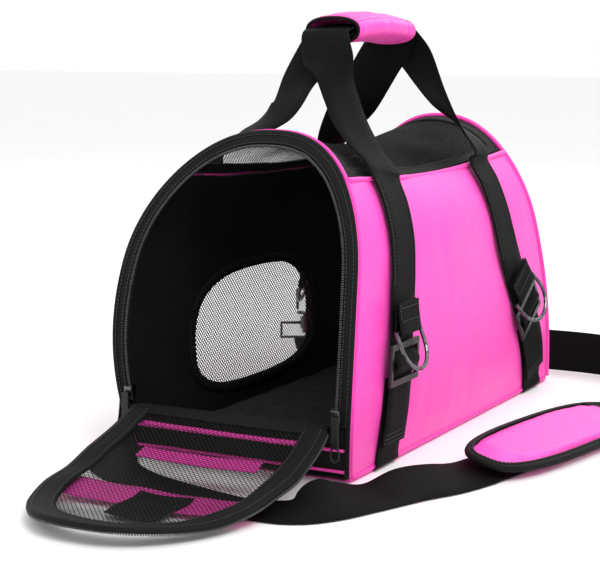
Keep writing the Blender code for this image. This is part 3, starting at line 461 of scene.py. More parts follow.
PINK = (0.93, 0.058, 0.455)
BLACK = (0.0062, 0.0070, 0.0064)
MATERIALS = {
    "satin": woven("pink_satin", PINK, 0.45, "UV", 0.0007, "XY", 0.00010, (0.93, 1.06),
                   sheen_weight=0.08, sheen_roughness=0.35, specular_ior_level=0.40),
    "pad_satin": woven("pink_pad", PINK, 0.45, "Object", 0.0007, "XY", 0.00010, (0.93, 1.06),
                       sheen_weight=0.08, sheen_roughness=0.35, specular_ior_level=0.40),
    "piping": woven("pink_piping", (0.90, 0.050, 0.43), 0.45, "Object", 0.0008, "YZ", 0.00012, (0.9, 1.08),
                    sheen_weight=0.06, sheen_roughness=0.4, specular_ior_level=0.35),
    "lining": woven("black_lining", (0.0050, 0.0052, 0.0050), 0.62, "UV", 0.0008, "XY", 0.00012, (0.8, 1.3),
                    sheen_weight=0.01, sheen_roughness=0.5, specular_ior_level=0.10),
    "tape": woven("black_tape", BLACK, 0.62, "UV", 0.0010, "XY", 0.00022, (0.75, 1.3),
                  sheen_weight=0.01, sheen_roughness=0.45, specular_ior_level=0.09),
    "cord": woven("black_piping", BLACK, 0.62, "Object", 0.0010, "YZ", 0.00020, (0.75, 1.3),
                  sheen_weight=0.01, sheen_roughness=0.45, specular_ior_level=0.09),
    "webbing": ribbed("black_webbing", (0.0042, 0.0048, 0.0043), 0.60),
    "net": woven("black_net", (0.0090, 0.0096, 0.0090), 0.55, "Object", 0.0005, "YZ", 0.00010, (0.8, 1.3),
                 sheen_weight=0.01, sheen_roughness=0.4, specular_ior_level=0.10),
    "fleece": woven("black_fleece", (0.0055, 0.0055, 0.0055), 0.92, "Object", 0.0022, "XY", 0.0012,
                    (0.5, 1.5), sheen_weight=0.06, sheen_roughness=0.55, specular_ior_level=0.10),
    "thread": woven("black_thread", (0.018, 0.019, 0.018), 0.6, "Object", 0.0004, "YZ", 0.00008, (0.8, 1.3)),
    "pink_thread": woven("pink_thread", (0.80, 0.045, 0.36), 0.5, "Object", 0.0004, "YZ", 0.00008,
                         (0.85, 1.1)),
    "teeth": moulded("black_teeth", (0.030, 0.030, 0.032), 0.32, 0.00003, coat_weight=0.15),
    "plastic": moulded("black_plastic", (0.0070, 0.0070, 0.0074), 0.36, 0.00004,
                       specular_ior_level=0.35),
    "metal": moulded("dark_nickel", (0.13, 0.13, 0.14), 0.28, 0.00002, metallic=1.0),
    "board": moulded("grey_board", (0.10, 0.09, 0.08), 0.80, 0.00010),
}


# ---- makers ----


def place(bm, name, look, body, replaced=(), smooth_shading=True):
    """A finished piece from a bmesh: its material, its body and what it stands for."""
    data = bpy.data.meshes.new(name)
    bm.normal_update()
    bm.to_mesh(data)
    bm.free()
    obj = bpy.data.objects.new(name, data)
    bpy.context.scene.collection.objects.link(obj)
    data.materials.append(MATERIALS[look])
    for polygon in data.polygons:
        polygon.use_smooth = smooth_shading
    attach(obj, body)
    if replaced:
        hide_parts(*replaced)
    return obj


def thicken(obj, thickness, offset=-1.0):
    thick = obj.modifiers.new("thickness", "SOLIDIFY")
    thick.thickness = thickness
    thick.offset = offset
    return obj


def rounded(obj, levels=1):
    soft = obj.modifiers.new("rounding", "SUBSURF")
    soft.levels = levels
    soft.render_levels = levels
    return obj


def face_away(bm, centre):
    """Turns the faces so that most look away from a point."""
    bm.normal_update()
    lean = sum(f.normal.dot(f.calc_center_median() - Vector(centre)) * f.calc_area() for f in bm.faces)
    if lean < 0:
        bmesh.ops.reverse_faces(bm, faces=bm.faces)


def grid(across, along, point, size, away=(0.0, 0.0, 0.12), keep=None):
    """A bmesh grid bent to point(u, v), with UVs in metres; keep(u, v) drops faces it says no to."""
    bm = bmesh.new()
    uv = bm.loops.layers.uv.new("UVMap")
    rows = [[bm.verts.new(point(i / across, j / along)) for i in range(across + 1)] for j in range(along + 1)]
    for j in range(along):
        for i in range(across):
            if keep and not keep((i + 0.5) / across, (j + 0.5) / along):
                continue
            face = bm.faces.new((rows[j][i], rows[j][i + 1], rows[j + 1][i + 1], rows[j + 1][i]))
            for loop, (a, b) in zip(face.loops, ((i, j), (i + 1, j), (i + 1, j + 1), (i, j + 1))):
                loop[uv].uv = (a / across * size[0], b / along * size[1])
    bmesh.ops.delete(bm, geom=[v for v in bm.verts if not v.link_faces], context="VERTS")
    face_away(bm, away)
    return bm


def closed_band(around, edge, rows, size, away):
    """A closed band whose rows run round edge(angle, share of the way across)."""
    bm = bmesh.new()
    uv = bm.loops.layers.uv.new("UVMap")
    lines = [[bm.verts.new(edge(2 * math.pi * i / around, j / rows)) for i in range(around)]
             for j in range(rows + 1)]
    for j in range(rows):
        for i in range(around):
            k = (i + 1) % around
            face = bm.faces.new((lines[j][i], lines[j][k], lines[j + 1][k], lines[j + 1][i]))
            for loop, (a, b) in zip(face.loops, ((i, j), (i + 1, j), (i + 1, j + 1), (i, j + 1))):
                loop[uv].uv = (a / around * size[0], b / rows * size[1])
    face_away(bm, away)
    return bm


def strip(points, normals, width, thickness):
    """Webbing with softly rounded edges swept along dense points, with UVs in metres."""
    bm = bmesh.new()
    uv = bm.loops.layers.uv.new("UVMap")
    path, facing = np.array(points, float), np.array(normals, float)
    ahead = np.gradient(path, axis=0)
    travelled = np.r_[0, np.cumsum(np.linalg.norm(np.diff(path, axis=0), axis=1))]
    half, deep = width / 2, thickness / 2
    section_points = [(-half, 0), (-half + deep, deep), (-half / 2, deep), (0, deep), (half / 2, deep),
                      (half - deep, deep), (half, 0), (half - deep, -deep), (0, -deep), (-half + deep, -deep)]
    rings = []
    for at, along, out in zip(path, ahead, facing):
        side = np.cross(along, out)
        side /= np.linalg.norm(side)
        up = np.cross(side, along)
        up /= np.linalg.norm(up)
        rings.append([bm.verts.new(at + side * a + up * b) for a, b in section_points])
    count = len(section_points)
    across = [a for a, _ in section_points] + [-half - 2 * deep]
    for i in range(len(rings) - 1):
        for k in range(count):
            m = (k + 1) % count
            face = bm.faces.new((rings[i][k], rings[i][m], rings[i + 1][m], rings[i + 1][k]))
            spots = ((i, k), (i, k + 1), (i + 1, k + 1), (i + 1, k))
            for loop, (a, b) in zip(face.loops, spots):
                loop[uv].uv = (travelled[a], across[b])
    bm.faces.new(rings[0])
    bm.faces.new(rings[-1][::-1])
    bmesh.ops.recalc_face_normals(bm, faces=bm.faces)
    return bm


def tube(name, look, body, points, radius, closed=False, replaced=(), sides=10):
    """A round cord swept along points."""
    path = np.array(points, float)
    if closed:
        ahead = np.roll(path, -1, 0) - np.roll(path, 1, 0)
    else:
        ahead = np.gradient(path, axis=0)
    ahead /= np.linalg.norm(ahead, axis=1)[:, None]
    bm = bmesh.new()
    rings = []
    side = np.cross(ahead[0], (0.3, 0.5, 0.81))
    for at, along in zip(path, ahead):
        side = side - along * side.dot(along)
        side /= np.linalg.norm(side)
        up = np.cross(along, side)
        rings.append([bm.verts.new(at + radius * (side * math.cos(a) + up * math.sin(a)))
                      for a in np.linspace(0, 2 * math.pi, sides, endpoint=False)])
    for i in range(len(rings) - (0 if closed else 1)):
        a, b = rings[i], rings[(i + 1) % len(rings)]
        for k in range(sides):
            m = (k + 1) % sides
            bm.faces.new((a[k], a[m], b[m], b[k]))
    if not closed:
        bm.faces.new(rings[0][::-1])
        bm.faces.new(rings[-1])
    bmesh.ops.recalc_face_normals(bm, faces=bm.faces)
    return place(bm, name, look, body, replaced)


def bricks(name, look, body, frames, size, replaced=()):
    """Many small bevelled blocks, one for each (centre, along, across) frame: teeth or stitches."""
    bm = bmesh.new()
    long_side, wide, deep = (s / 2 for s in size)
    corners = []
    for x, shrink in ((-1, 0.55), (-0.6, 1), (0.6, 1), (1, 0.55)):
        corners.append([(x * long_side, y * wide * shrink, z * deep * shrink)
                        for y, z in ((-1, -1), (1, -1), (1, 1), (-1, 1))])
    for centre, along, across in frames:
        along, across = Vector(along).normalized(), Vector(across).normalized()
        up = along.cross(across).normalized()
        across = up.cross(along)
        rings = [[bm.verts.new(Vector(centre) + along * x + across * y + up * z) for x, y, z in ring]
                 for ring in corners]
        for a, b in zip(rings, rings[1:]):
            for k in range(4):
                m = (k + 1) % 4
                bm.faces.new((a[k], a[m], b[m], b[k]))
        bm.faces.new(rings[0][::-1])
        bm.faces.new(rings[-1])
    bmesh.ops.recalc_face_normals(bm, faces=bm.faces)
    return place(bm, name, look, body, replaced)


def spaced(points, normals, pitch):
    """(centre, along, normal) at equal steps along a line of dense points."""
    path, facing = np.array(points, float), np.array(normals, float)
    travelled = np.r_[0, np.cumsum(np.linalg.norm(np.diff(path, axis=0), axis=1))]
    ahead = np.gradient(path, axis=0)
    made = []
    for at in np.arange(pitch / 2, travelled[-1], pitch):
        centre = [np.interp(at, travelled, path[:, k]) for k in range(3)]
        along = [np.interp(at, travelled, ahead[:, k]) for k in range(3)]
        normal = [np.interp(at, travelled, facing[:, k]) for k in range(3)]
        made.append((centre, along, normal))
    return made


def facing_one_way(line, normal):
    """A (points, normals) line whose points all face the same way."""
    return line, [normal] * len(line)


def stitches(name, body, lines, look="thread", pitch=0.0034, length=0.0024):
    """Rows of short raised thread, one row for each (points, normals) line."""
    frames = [item for points, normals in lines for item in spaced(points, normals, pitch)]
    return bricks(name, look, body, frames, (length, 0.0006, 0.0007))


def netting(pitch, width, height, inside, point, look, name, body, replaced, hole=0.74, deep=0.00035):
    """Knitted mesh: diamond cells with open holes over the part of a flat cut that inside(a, b) keeps."""
    bm = bmesh.new()
    outer, centres = {}, []
    half = pitch / 2

    def corner(a, b):
        key = (round(a / half), round(b / half))
        if key not in outer:
            outer[key] = bm.verts.new(point(a, b))
        return outer[key]

    for j in range(int(height / half) + 1):
        for i in range(int(width / pitch) + 1):
            a, b = i * pitch + (half if j % 2 else 0.0), j * half
            if a < width and b < height and inside(a, b):
                centres.append((a, b))
    for a, b in centres:
        spots = [(a - half, b), (a, b - half), (a + half, b), (a, b + half)]
        rim = [corner(*spot) for spot in spots]
        hole_rim = [bm.verts.new(point(a + (x - a) * hole, b + (y - b) * hole)) for x, y in spots]
        for k in range(4):
            m = (k + 1) % 4
            bm.faces.new((rim[k], rim[m], hole_rim[m], hole_rim[k]))
    face_away(bm, (0.0, 0.0, 0.12))
    return thicken(place(bm, name, look, body, replaced, False), deep, 0.0)


def puffed(obj, voxel, pressure, frames_count, cap):
    """Swells a closed piece as stuffed cloth, then keeps the result as its mesh."""
    scene = bpy.context.scene
    bpy.context.view_layer.update()
    remesh = obj.modifiers.new("remesh", "REMESH")
    remesh.mode = "VOXEL"
    remesh.voxel_size = voxel
    keep_mesh(obj)
    before = np.array([v.co for v in obj.data.vertices])
    cloth = obj.modifiers.new("cloth", "CLOTH")
    cloth.settings.use_pressure = True
    cloth.settings.uniform_pressure_force = pressure
    cloth.settings.effector_weights.gravity = 0.0
    cloth.settings.quality = 5
    cloth.settings.mass = 0.15
    cloth.point_cache.frame_start = 1
    cloth.point_cache.frame_end = frames_count
    for step in range(1, frames_count + 1):
        scene.frame_set(step)
    keep_mesh(obj)
    scene.frame_set(1)
    after = np.array([v.co for v in obj.data.vertices])
    move = after - before
    far = np.linalg.norm(move, axis=1)
    scale = np.minimum(1.0, cap / np.maximum(far, 1e-9))
    obj.data.vertices.foreach_set("co", (before + move * scale[:, None]).astype(np.float32).ravel())
    for polygon in obj.data.polygons:
        polygon.use_smooth = True
    return rounded(obj)


def keep_mesh(obj):
    """Applies what the modifiers make."""
    graph = bpy.context.evaluated_depsgraph_get()
    data = bpy.data.meshes.new_from_object(obj.evaluated_get(graph))
    look = obj.data.materials[0]
    obj.modifiers.clear()
    obj.data = data
    if not data.materials:
        data.materials.append(look)


def ripple(at, scale, height, seed=0.0):
    """Smooth uneven offset, the same each run."""
    return height * noise.noise(Vector(at) * scale + Vector((seed, seed * 1.7, 3.1)))


# ---- camera, light and floor ----


LENS = 97.3
CAMERA_AT, CAMERA_TOWARDS = Vector((0.6749, -1.3721, 0.3558)), Vector((-0.026, -0.079, 0.1372))
LIT_POINT = Vector((0, -0.05, 0.12))
# name, place, size in metres, power in watts
LAMPS = (("key", (1.3, -1.0, 2.0), 1.2, 34.0), ("fill", (-1.9, -1.2, 1.1), 1.8, 6.0),
         ("rim", (0.3, 1.9, 1.6), 1.4, 15.0), ("inner", (0.2, -1.5, 0.45), 0.6, 0.6))
FLOOR_SIZE, FLOOR_DROP = 14.0, 0.0002


def studio():
    """The camera, a white world, four soft lamps and a pale floor just under the bag."""
    camera_data = bpy.data.cameras.new("camera")
    camera_data.lens = LENS
    camera_data.sensor_width = 36.0
    camera = bpy.data.objects.new("camera", camera_data)
    bpy.context.scene.collection.objects.link(camera)
    camera.location = CAMERA_AT
    aim = CAMERA_TOWARDS - CAMERA_AT
    camera.rotation_euler = aim.to_track_quat("-Z", "Y").to_euler()
    bpy.context.scene.camera = camera
    bpy.context.scene.view_settings.view_transform = "Standard"
    world = bpy.data.worlds.new("studio")
    world.use_nodes = True
    world.node_tree.nodes["Background"].inputs["Color"].default_value = (1.0, 1.0, 1.0, 1.0)
    world.node_tree.nodes["Background"].inputs["Strength"].default_value = 1.0
    bpy.context.scene.world = world
    for name, spot, size, power in LAMPS:
        data = bpy.data.lights.new(name, "AREA")
        data.size = size
        data.energy = power
        lamp = bpy.data.objects.new(name, data)
        lamp.location = spot
        lamp.rotation_euler = (LIT_POINT - Vector(spot)).to_track_quat("-Z", "Y").to_euler()
        bpy.context.scene.collection.objects.link(lamp)
    bm = bmesh.new()
    bmesh.ops.create_grid(bm, x_segments=1, y_segments=1, size=FLOOR_SIZE)
    data = bpy.data.meshes.new("floor")
    bm.to_mesh(data)
    bm.free()
    floor = bpy.data.objects.new("floor", data)
    floor.location.z = CAD_BOX[0][2] - FLOOR_DROP
    pale = Nodes("pale_floor", (0.93, 0.93, 0.93), 0.6)
    pale.tint(pale.noise("Object", 3.0), 0.99, 1.01)
    data.materials.append(pale.made)
    bpy.context.scene.collection.objects.link(floor)


# ---- the shoulder strap, its pad and its hooks ----


def strap_path():
    """The strap's middle line from the front hook's eye to the rear one, and its facing."""
    eyes = []
    for end in ("front", "back"):
        low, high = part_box(f"swivel_eye_{end}")
        eyes.append(Vector(((low.x + high.x) / 2, (low.y + high.y) / 2, low.z - GAP)))
    front_eye, back_eye = eyes
    leave, arrive = Vector((0.5, -0.866, 0)), Vector((0.5, 0.866, 0))
    first = [(front_eye, leave), (front_eye + Vector((0.0010, -0.0020, -0.0110)), leave),
             (front_eye + Vector((0.0040, -0.0100, -0.0260)), leave + Vector((0, 0, 1))),
             (Vector((-0.1335, -0.190, 0.0048)), Vector((0.1, -0.15, 1)))]
    last = [(Vector((-0.1390, 0.160, 0.0048)), Vector((0.1, 0.15, 1))),
            (back_eye + Vector((0.0030, 0.0100, -0.0260)), arrive + Vector((0, 0, 1))),
            (back_eye + Vector((0.0010, 0.0020, -0.0110)), arrive), (back_eye, arrive)]
    path = first + floor_run()[1:-1] + last
    points = smooth([tuple(p) for p, _ in path], 3 * len(path))
    normals = smooth([tuple(n) for _, n in path], 3 * len(path))
    return points, normals


def shoulder_strap():
    points, normals = strap_path()
    obj = place(strip(points, normals, WEBBING_WIDTH, 0.0015), "shoulder_webbing", "webbing", "bag",
                ("shoulder_strap",))
    across = np.cross(np.gradient(points, axis=0), normals)
    across /= np.linalg.norm(across, axis=1)[:, None]
    lines = []
    for low, high in ((2, 20), (len(points) - 20, len(points) - 2)):
        for side in (-1, 1):
            edge = points[low:high] + across[low:high] * side * 0.019 + normals[low:high] * 0.0009
            lines.append((edge, normals[low:high]))
    stitches("shoulder_webbing_stitches", "bag", lines)


def shoulder_pad():
    """A soft slab in satin with a black bound edge and a stitched tab at its far end."""
    low, high, around = PAD_UNDERSIDE, PAD_UNDERSIDE + PAD_THICKNESS, 72
    facing = tuple(PAD_UP)
    bm = bmesh.new()
    rows = [(-0.0050, 0.10), (-0.0032, 0.35), (-0.0032, 0.65), (-0.0050, 0.90)]
    rings = [[bm.verts.new(leaf(2 * math.pi * i / around, grow, low + (high - low) * share))
              for i in range(around)] for grow, share in rows]
    for a, b in zip(rings, rings[1:]):
        for i in range(around):
            k = (i + 1) % around
            bm.faces.new((a[i], a[k], b[k], b[i]))
    bm.faces.new(rings[0][::-1])
    bm.faces.new(rings[-1])
    bmesh.ops.recalc_face_normals(bm, faces=bm.faces)
    obj = place(bm, "pad_cushion", "pad_satin", "shoulder_pad", ("shoulder_pad",))
    puffed(obj, 0.0035, 3.0, 14, 0.0035)
    edge = [leaf(2 * math.pi * i / 120, -0.0022, (low + high) / 2 + 0.0010) for i in range(120)]
    tube("pad_edge_piping", "cord", "shoulder_pad", edge, 0.0030, True, ("pad_binding",), 10)
    below = tuple(PAD_CENTRE - PAD_UP)
    band = closed_band(120, lambda a, s: leaf(a, -0.0062 + 0.0046 * s, high + 0.0006 - 0.0018 * s * s), 2,
                       (0.5, 0.005), below)
    thicken(place(band, "pad_edge_tape", "tape", "shoulder_pad"), 0.0010)
    ring = [leaf(2 * math.pi * i / 200, -0.0052, high + 0.0012) for i in range(201)]
    stitches("pad_stitches", "shoulder_pad", [facing_one_way(ring, facing)])

    def tab(u, v):
        along, across = PAD_LENGTH / 2 - 0.030 + 0.026 * v, (2 * u - 1) * (0.0240 - 0.0060 * v)
        return PAD_CENTRE + PAD_DIRECTION * along + PAD_SIDE * across + PAD_UP * (high + 0.0014 - 0.0012 * v)

    thicken(place(grid(12, 8, tab, (0.048, 0.026), below), "pad_tab", "webbing", "shoulder_pad"), 0.0012)
    lines = []
    for v in (0.12, 0.85):
        row = [tab(u, v) + PAD_UP * 0.0013 for u in np.linspace(0.06, 0.94, 16)]
        lines.append(facing_one_way(row, facing))
    stitches("pad_tab_stitches", "shoulder_pad", lines)


# ---- the bag's shell ----


def pillow(side, t, v):
    """How far a padded wall swells between its straps."""
    point = shell(t, v)
    y, z = point.y, point.z
    swell = 0.0
    front_line, back_line = front_strap_y(z), back_strap_y(z)
    spans = ((front_y(z), front_line - 0.022, 0.0012), (front_line + 0.022, back_line - 0.022, 0.0042),
             (back_line + 0.022, back_y(z), 0.0014))
    for first, last, height in spans:
        if first < y < last:
            swell = height * math.sin(math.pi * (y - first) / (last - first)) ** 0.7
    foot = min(z / 0.03, 1.0)
    crease = ripple((y * 1.0, z * 1.4, side * 5.0), 16.0, 0.0016) + ripple((y, z * 0.4, side), 55.0, 0.0005)
    return swell * foot + crease * foot


def panel_point(side, first, last, lift):
    def at(u, v):
        t = first + (last - first) * u
        full = 1 - t if side < 0 else t
        fade = math.sin(math.pi * min(max(v, 0.0), 1.0)) ** 0.25 if 0 < v < 1 else 0.0
        return shell(full, v, lift + pillow(side, full, v) * fade)
    return at


def side_panels():
    first, seam = arch_at(0.0045), arch_at(SEAM_HEIGHT)
    length = 2 * HALF_LENGTH
    for name, side in SIDES.items():
        def open_part(u, v, side=side, at=panel_point(side, first, seam, 0.0)):
            if side > 0:
                return True
            point = at(u, v)
            return not in_window(point.y, point.z, 0.0030)
        outer = grid(72, 120, panel_point(side, first, seam, -0.0002), (0.26, length), keep=open_part)
        thicken(place(outer, f"pink_side_{name}", "satin", "bag", (f"side_panel_{name}",)), 0.0014)

        def inner(u, v, side=side):
            t = first + (seam - first) * u
            full = 1 - t if side < 0 else t
            sag = ripple(shell(full, v), 22.0, 0.0022, 4.0)
            return shell(full, v, -0.0036 + min(sag, 0.0012))

        lining = grid(60, 100, inner, (0.26, length), keep=open_part)
        bmesh.ops.reverse_faces(lining, faces=lining.faces)
        thicken(place(lining, f"lining_{name}", "lining", "bag"), 0.0008, 0.0)
        hem(name, side, seam)


def hem(name, side, seam):
    """The rolled pink top edge of a side panel, where the mesh roof is sewn in."""
    full = 1 - seam if side < 0 else seam
    points = [shell(full, v, 0.0012 + ripple((v * 8, side, 0), 3.0, 0.0004))
              for v in np.linspace(0.006, 0.994, 90)]
    tube(f"top_hem_{name}", "piping", "bag", points, 0.0024)


def in_window(y, z, grow):
    """True inside the side window's arched outline."""
    tall = WINDOW_HIGH - WINDOW_LOW
    middle = WINDOW_LOW + 0.35 * tall
    reach = (WINDOW_HIGH - middle if z > middle else middle - WINDOW_LOW) + grow
    power = 2 / 0.7
    return abs((y - WINDOW_Y) / (WINDOW_HALF + grow)) ** power + abs((z - middle) / reach) ** power < 1.0


def side_window():
    low, high = WINDOW_LOW - 0.006, WINDOW_HIGH + 0.006
    start = WINDOW_Y - WINDOW_HALF - 0.006
    width = 2 * WINDOW_HALF + 0.012

    def point(a, b):
        y, z = start + a, low + b
        sag = 0.0030 * math.sin(math.pi * a / width) * math.sin(math.pi * b / (high - low))
        return left_point(y, z, -PANEL + 0.0012 + sag)

    netting(NET_PITCH, width, high - low, lambda a, b: in_window(start + a, low + b, 0.0045), point, "net",
            "side_window_net", "bag", ("side_window_mesh",))
    band = closed_band(96, lambda a, s: left_point(*window_edge(a, -0.0012 + 0.0092 * s),
                                                   0.0012 + 0.0008 * math.sin(math.pi * s)), 4,
                       (0.6, 0.009), (0, 0, 0.1))
    thicken(place(band, "side_window_tape", "tape", "bag", ("side_window_binding",)), 0.0012)
    inner = closed_band(96, lambda a, s: left_point(*window_edge(a, -0.0012 + 0.0092 * s), -PANEL - 0.0002),
                        2, (0.6, 0.009), (0, 0, 0.1))
    thicken(place(inner, "side_window_tape_inside", "tape", "bag"), 0.0010)
    lines = []
    for grow in (0.0006, 0.0070):
        ring = [left_point(*window_edge(a, grow), 0.0024) for a in np.linspace(0, 2 * math.pi, 160)]
        lines.append(facing_one_way(ring, (-1, 0, 0)))
    stitches("side_window_stitches", "bag", lines)


def roof():
    seam = arch_at(SEAM_HEIGHT) + 0.003
    arc = [section(seam + (1 - 2 * seam) * i / 60) for i in range(61)]
    width = sum(math.dist(a, b) for a, b in zip(arc, arc[1:]))
    length = 0.385

    def point(a, b):
        t = seam + (1 - 2 * seam) * min(max(a / width, 0.0), 1.0)
        v = min(max(b / length, 0.004), 0.996)
        return shell(t, v, -PANEL + MESH + ripple((a, b, 0), 20.0, 0.0015))

    margin = 0.006
    netting(NET_PITCH, width, length,
            lambda a, b: margin < a < width - margin and margin < b < length - margin, point, "net",
            "roof_net", "bag", ("top_mesh",), 0.82)

    def frame_line(angle, share):
        """Round the roof's edge; share goes from the inner edge of the binding to its outer edge."""
        along = 2 * angle / math.pi
        part, corner = along - int(along), int(along) % 4
        a, b = ((part, 0), (1, part), (1 - part, 1), (0, 1 - part))[corner]
        side_in, end_in = 0.013 * (1 - share), 0.022 * (1 - share)
        x = side_in + (width - 2 * side_in) * a
        y = end_in + (length - 2 * end_in) * b
        lift = 0.0010 + 0.0006 * math.sin(math.pi * share)
        return point(x, y) + Vector((0, 0, 1)) * lift

    band = closed_band(160, frame_line, 4, (1.1, 0.016), (0, 0, 0))
    thicken(place(band, "roof_tape", "tape", "bag", ("top_binding",)), 0.0012)
    lines = []
    for share in (0.12, 0.80):
        ring = [frame_line(a, share) + Vector((0, 0, 0.0007))
                for a in np.linspace(0, 2 * math.pi, 240, endpoint=False)]
        lines.append(facing_one_way(ring, (0, 0, 1)))
    stitches("roof_stitches", "bag", lines)


def outline_line(count, out, end_y, push, foot_z):
    foot = arch_at(foot_z)
    return [end_outline(foot + (1 - 2 * foot) * i / count, out, end_y, push) for i in range(count + 1)]


def front_end():
    low = arch_at(SILL_HEIGHT + 0.003)

    def band(name, outer, inner, push, replaced, bulge=0.0008, foot=low):
        def at(u, v):
            t = foot + (1 - 2 * foot) * u
            return end_outline(t, inner + (outer - inner) * v, front_y, push - bulge * math.sin(math.pi * v))
        bm = grid(150, 4, at, (0.75, abs(outer - inner)), (0, 0.5, 0.1))
        return thicken(place(bm, name, "tape", "bag", replaced), 0.0010)

    band("front_tape", -0.0006, -0.0104, -0.0026, ("front_zipper_tape",))
    band("front_tape_edge", 0.0012, -0.0032, -0.0034, (), 0.0012, arch_at(0.0060))
    band("front_seam_tape", -0.0040, -0.0108, 0.0030, (), -0.0010, arch_at(0.0060))
    points = outline_line(260, -0.0120, front_y, -0.0026, SILL_HEIGHT + 0.003)
    frames = [(c, a, (0, 1, 0)) for c, a, _ in spaced(points, [(0, -1, 0)] * len(points), 0.0020)]
    bricks("front_teeth", "teeth", "bag", [(c, Vector(a).cross(Vector((0, 1, 0))), n) for c, a, n in frames],
           (0.0026, 0.0022, 0.0012), ("front_zipper_teeth",))
    tube("front_piping_cord", "piping", "bag", outline_line(200, -0.0006, front_y, 0.0034, 0.0060), 0.0021,
         False, ("front_piping",))
    tube("front_hoop_sleeve", "cord", "bag", outline_line(160, -0.0072, front_y, 0.0050, 0.0085), 0.0027,
         False, ("front_hoop",))
    lines = []
    for out in (-0.0026, -0.0088):
        line = outline_line(200, out, front_y, -0.0039, SILL_HEIGHT + 0.004)
        lines.append(facing_one_way(line, (0, -1, 0)))
    stitches("front_tape_stitches", "bag", lines)

    def sill(u, v):
        z = 0.0035 + (SILL_HEIGHT - 0.0030) * v
        reach = half_width(z) - 0.0020
        return Vector(((2 * u - 1) * reach, front_y(z) - 0.0012 - ripple((u * 3, v, 1), 2.0, 0.0012), z))

    thicken(place(grid(50, 12, sill, (0.2, 0.045), (0, 0.5, 0.02)), "sill_panel", "lining", "bag",
                  ("front_sill",)), 0.0022)
    for name, share, look in (("low", 0.16, "piping"), ("high", 0.60, "piping"), ("hem", 0.03, "cord")):
        line = [sill(u, share) + Vector((0, -0.0010, 0)) for u in np.linspace(0.01, 0.99, 60)]
        tube(f"sill_line_{name}", look, "bag", line, 0.0013)


def back_end():
    foot = arch_at(0.0055)

    def back(u, v):
        edge = end_outline(foot + (0.4995 - foot) * v ** 0.8, -0.0030, back_y, 0.0030)
        bulge = 0.0045 * math.sin(math.pi * u) ** 0.6 * math.sin(math.pi * min(v, 0.999)) ** 0.5
        bulge += ripple((u * 2.0, v * 2.4, 9.0), 2.4, 0.0020) * math.sin(math.pi * u)
        return Vector(((2 * u - 1) * edge.x, edge.y + bulge, edge.z))

    bm = grid(60, 70, back, (0.2, 0.28), (0, -0.5, 0.1))
    thicken(place(bm, "pink_back", "satin", "bag", ("back_panel",)), 0.0016)

    def lining(u, v):
        point = back(u, v)
        wave = ripple((u * 2, v * 2, 2), 3.0, 0.0015)
        return Vector((point.x * 0.985, point.y - 0.0060 - wave, point.z - 0.001))

    bm = grid(40, 46, lining, (0.2, 0.28), (0, 0.8, 0.1))
    thicken(place(bm, "lining_back", "lining", "bag"), 0.0008)
    tube("back_piping_cord", "piping", "bag", outline_line(200, -0.0004, back_y, 0.0030, 0.0060), 0.0024,
         False, ("back_piping",))
    tube("back_hoop_sleeve", "cord", "bag", outline_line(160, -0.0085, back_y, -0.0050, 0.0085), 0.0027,
         False, ("back_hoop",))


def base():
    low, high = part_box("base_panel")

    def under(u, v):
        x, y = (2 * u - 1) * (HALF_WIDTH - 0.0005), low.y + (high.y - low.y) * v
        return Vector((x, y, 0.0006 + 0.0002 * math.sin(40 * y)))

    bm = grid(20, 46, under, (0.2, 0.46), (0, 0, 1))
    thicken(place(bm, "pink_base", "satin", "bag", ("base_panel",)), 0.0036)
    for name, side in SIDES.items():
        line = [Vector((side * (HALF_WIDTH - 0.0002), y, 0.0042))
                for y in np.linspace(low.y + 0.002, high.y - 0.002, 60)]
        tube(f"base_piping_{name}", "piping", "bag", line, 0.0022)
    line = [Vector((x, back_y(0.004) + 0.0022, 0.0046)) for x in np.linspace(-0.100, 0.100, 40)]
    tube("base_piping_back", "piping", "bag", line, 0.0022)


def floor_insert():
    low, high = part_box("floor_pad")
    centre, half = (low + high) / 2, (high - low) / 2

    def at(u, v):
        x, y = 2 * u - 1, 2 * v - 1
        edge = max(abs(x), abs(y))
        fall = 1 - max((edge - 0.94) / 0.06, 0.0) ** 2
        wave = ripple((u * 5, v * 9, 2), 3.0, 0.0012) + ripple((u * 40, v * 80, 5), 3.0, 0.0010)
        return Vector((centre.x + x * half.x, centre.y + y * half.y,
                       low.z + 0.003 + (high.z - low.z - 0.004) * fall + wave * fall))

    bm = grid(70, 140, at, (2 * half.x, 2 * half.y), (0, 0, -1))
    thicken(place(bm, "floor_cushion", "fleece", "floor_insert", ("floor_pad",)), 0.0026)


# ---- the door ----


def door_drape(x, z):
    """How far the limp door lifts off its flat shape: its sides curl up between hinge and tip."""
    share = min(max((z - DOOR_LOW) / (DOOR_HIGH - DOOR_LOW), 0.0), 1.0)
    edge = min(abs(x) / 0.095, 1.0)
    curl = 0.0050 * edge ** 2 * math.sin(math.pi * share)
    return -curl - 0.0012 - ripple((x, z, 0.5), 26.0, 0.0022) * math.sin(math.pi * share) ** 0.5


def on_door(x, z, out):
    return door_point(x, z, out + door_drape(x, z))


def door_outline():
    """(z, half width) of the door's cloth edge, from the hinge up."""
    foot = arch_at(DOOR_LOW)
    rows = [door_edge(foot + (0.5 - foot) * i / 200) for i in range(201)]
    return np.array([(z, abs(x)) for x, z in rows])


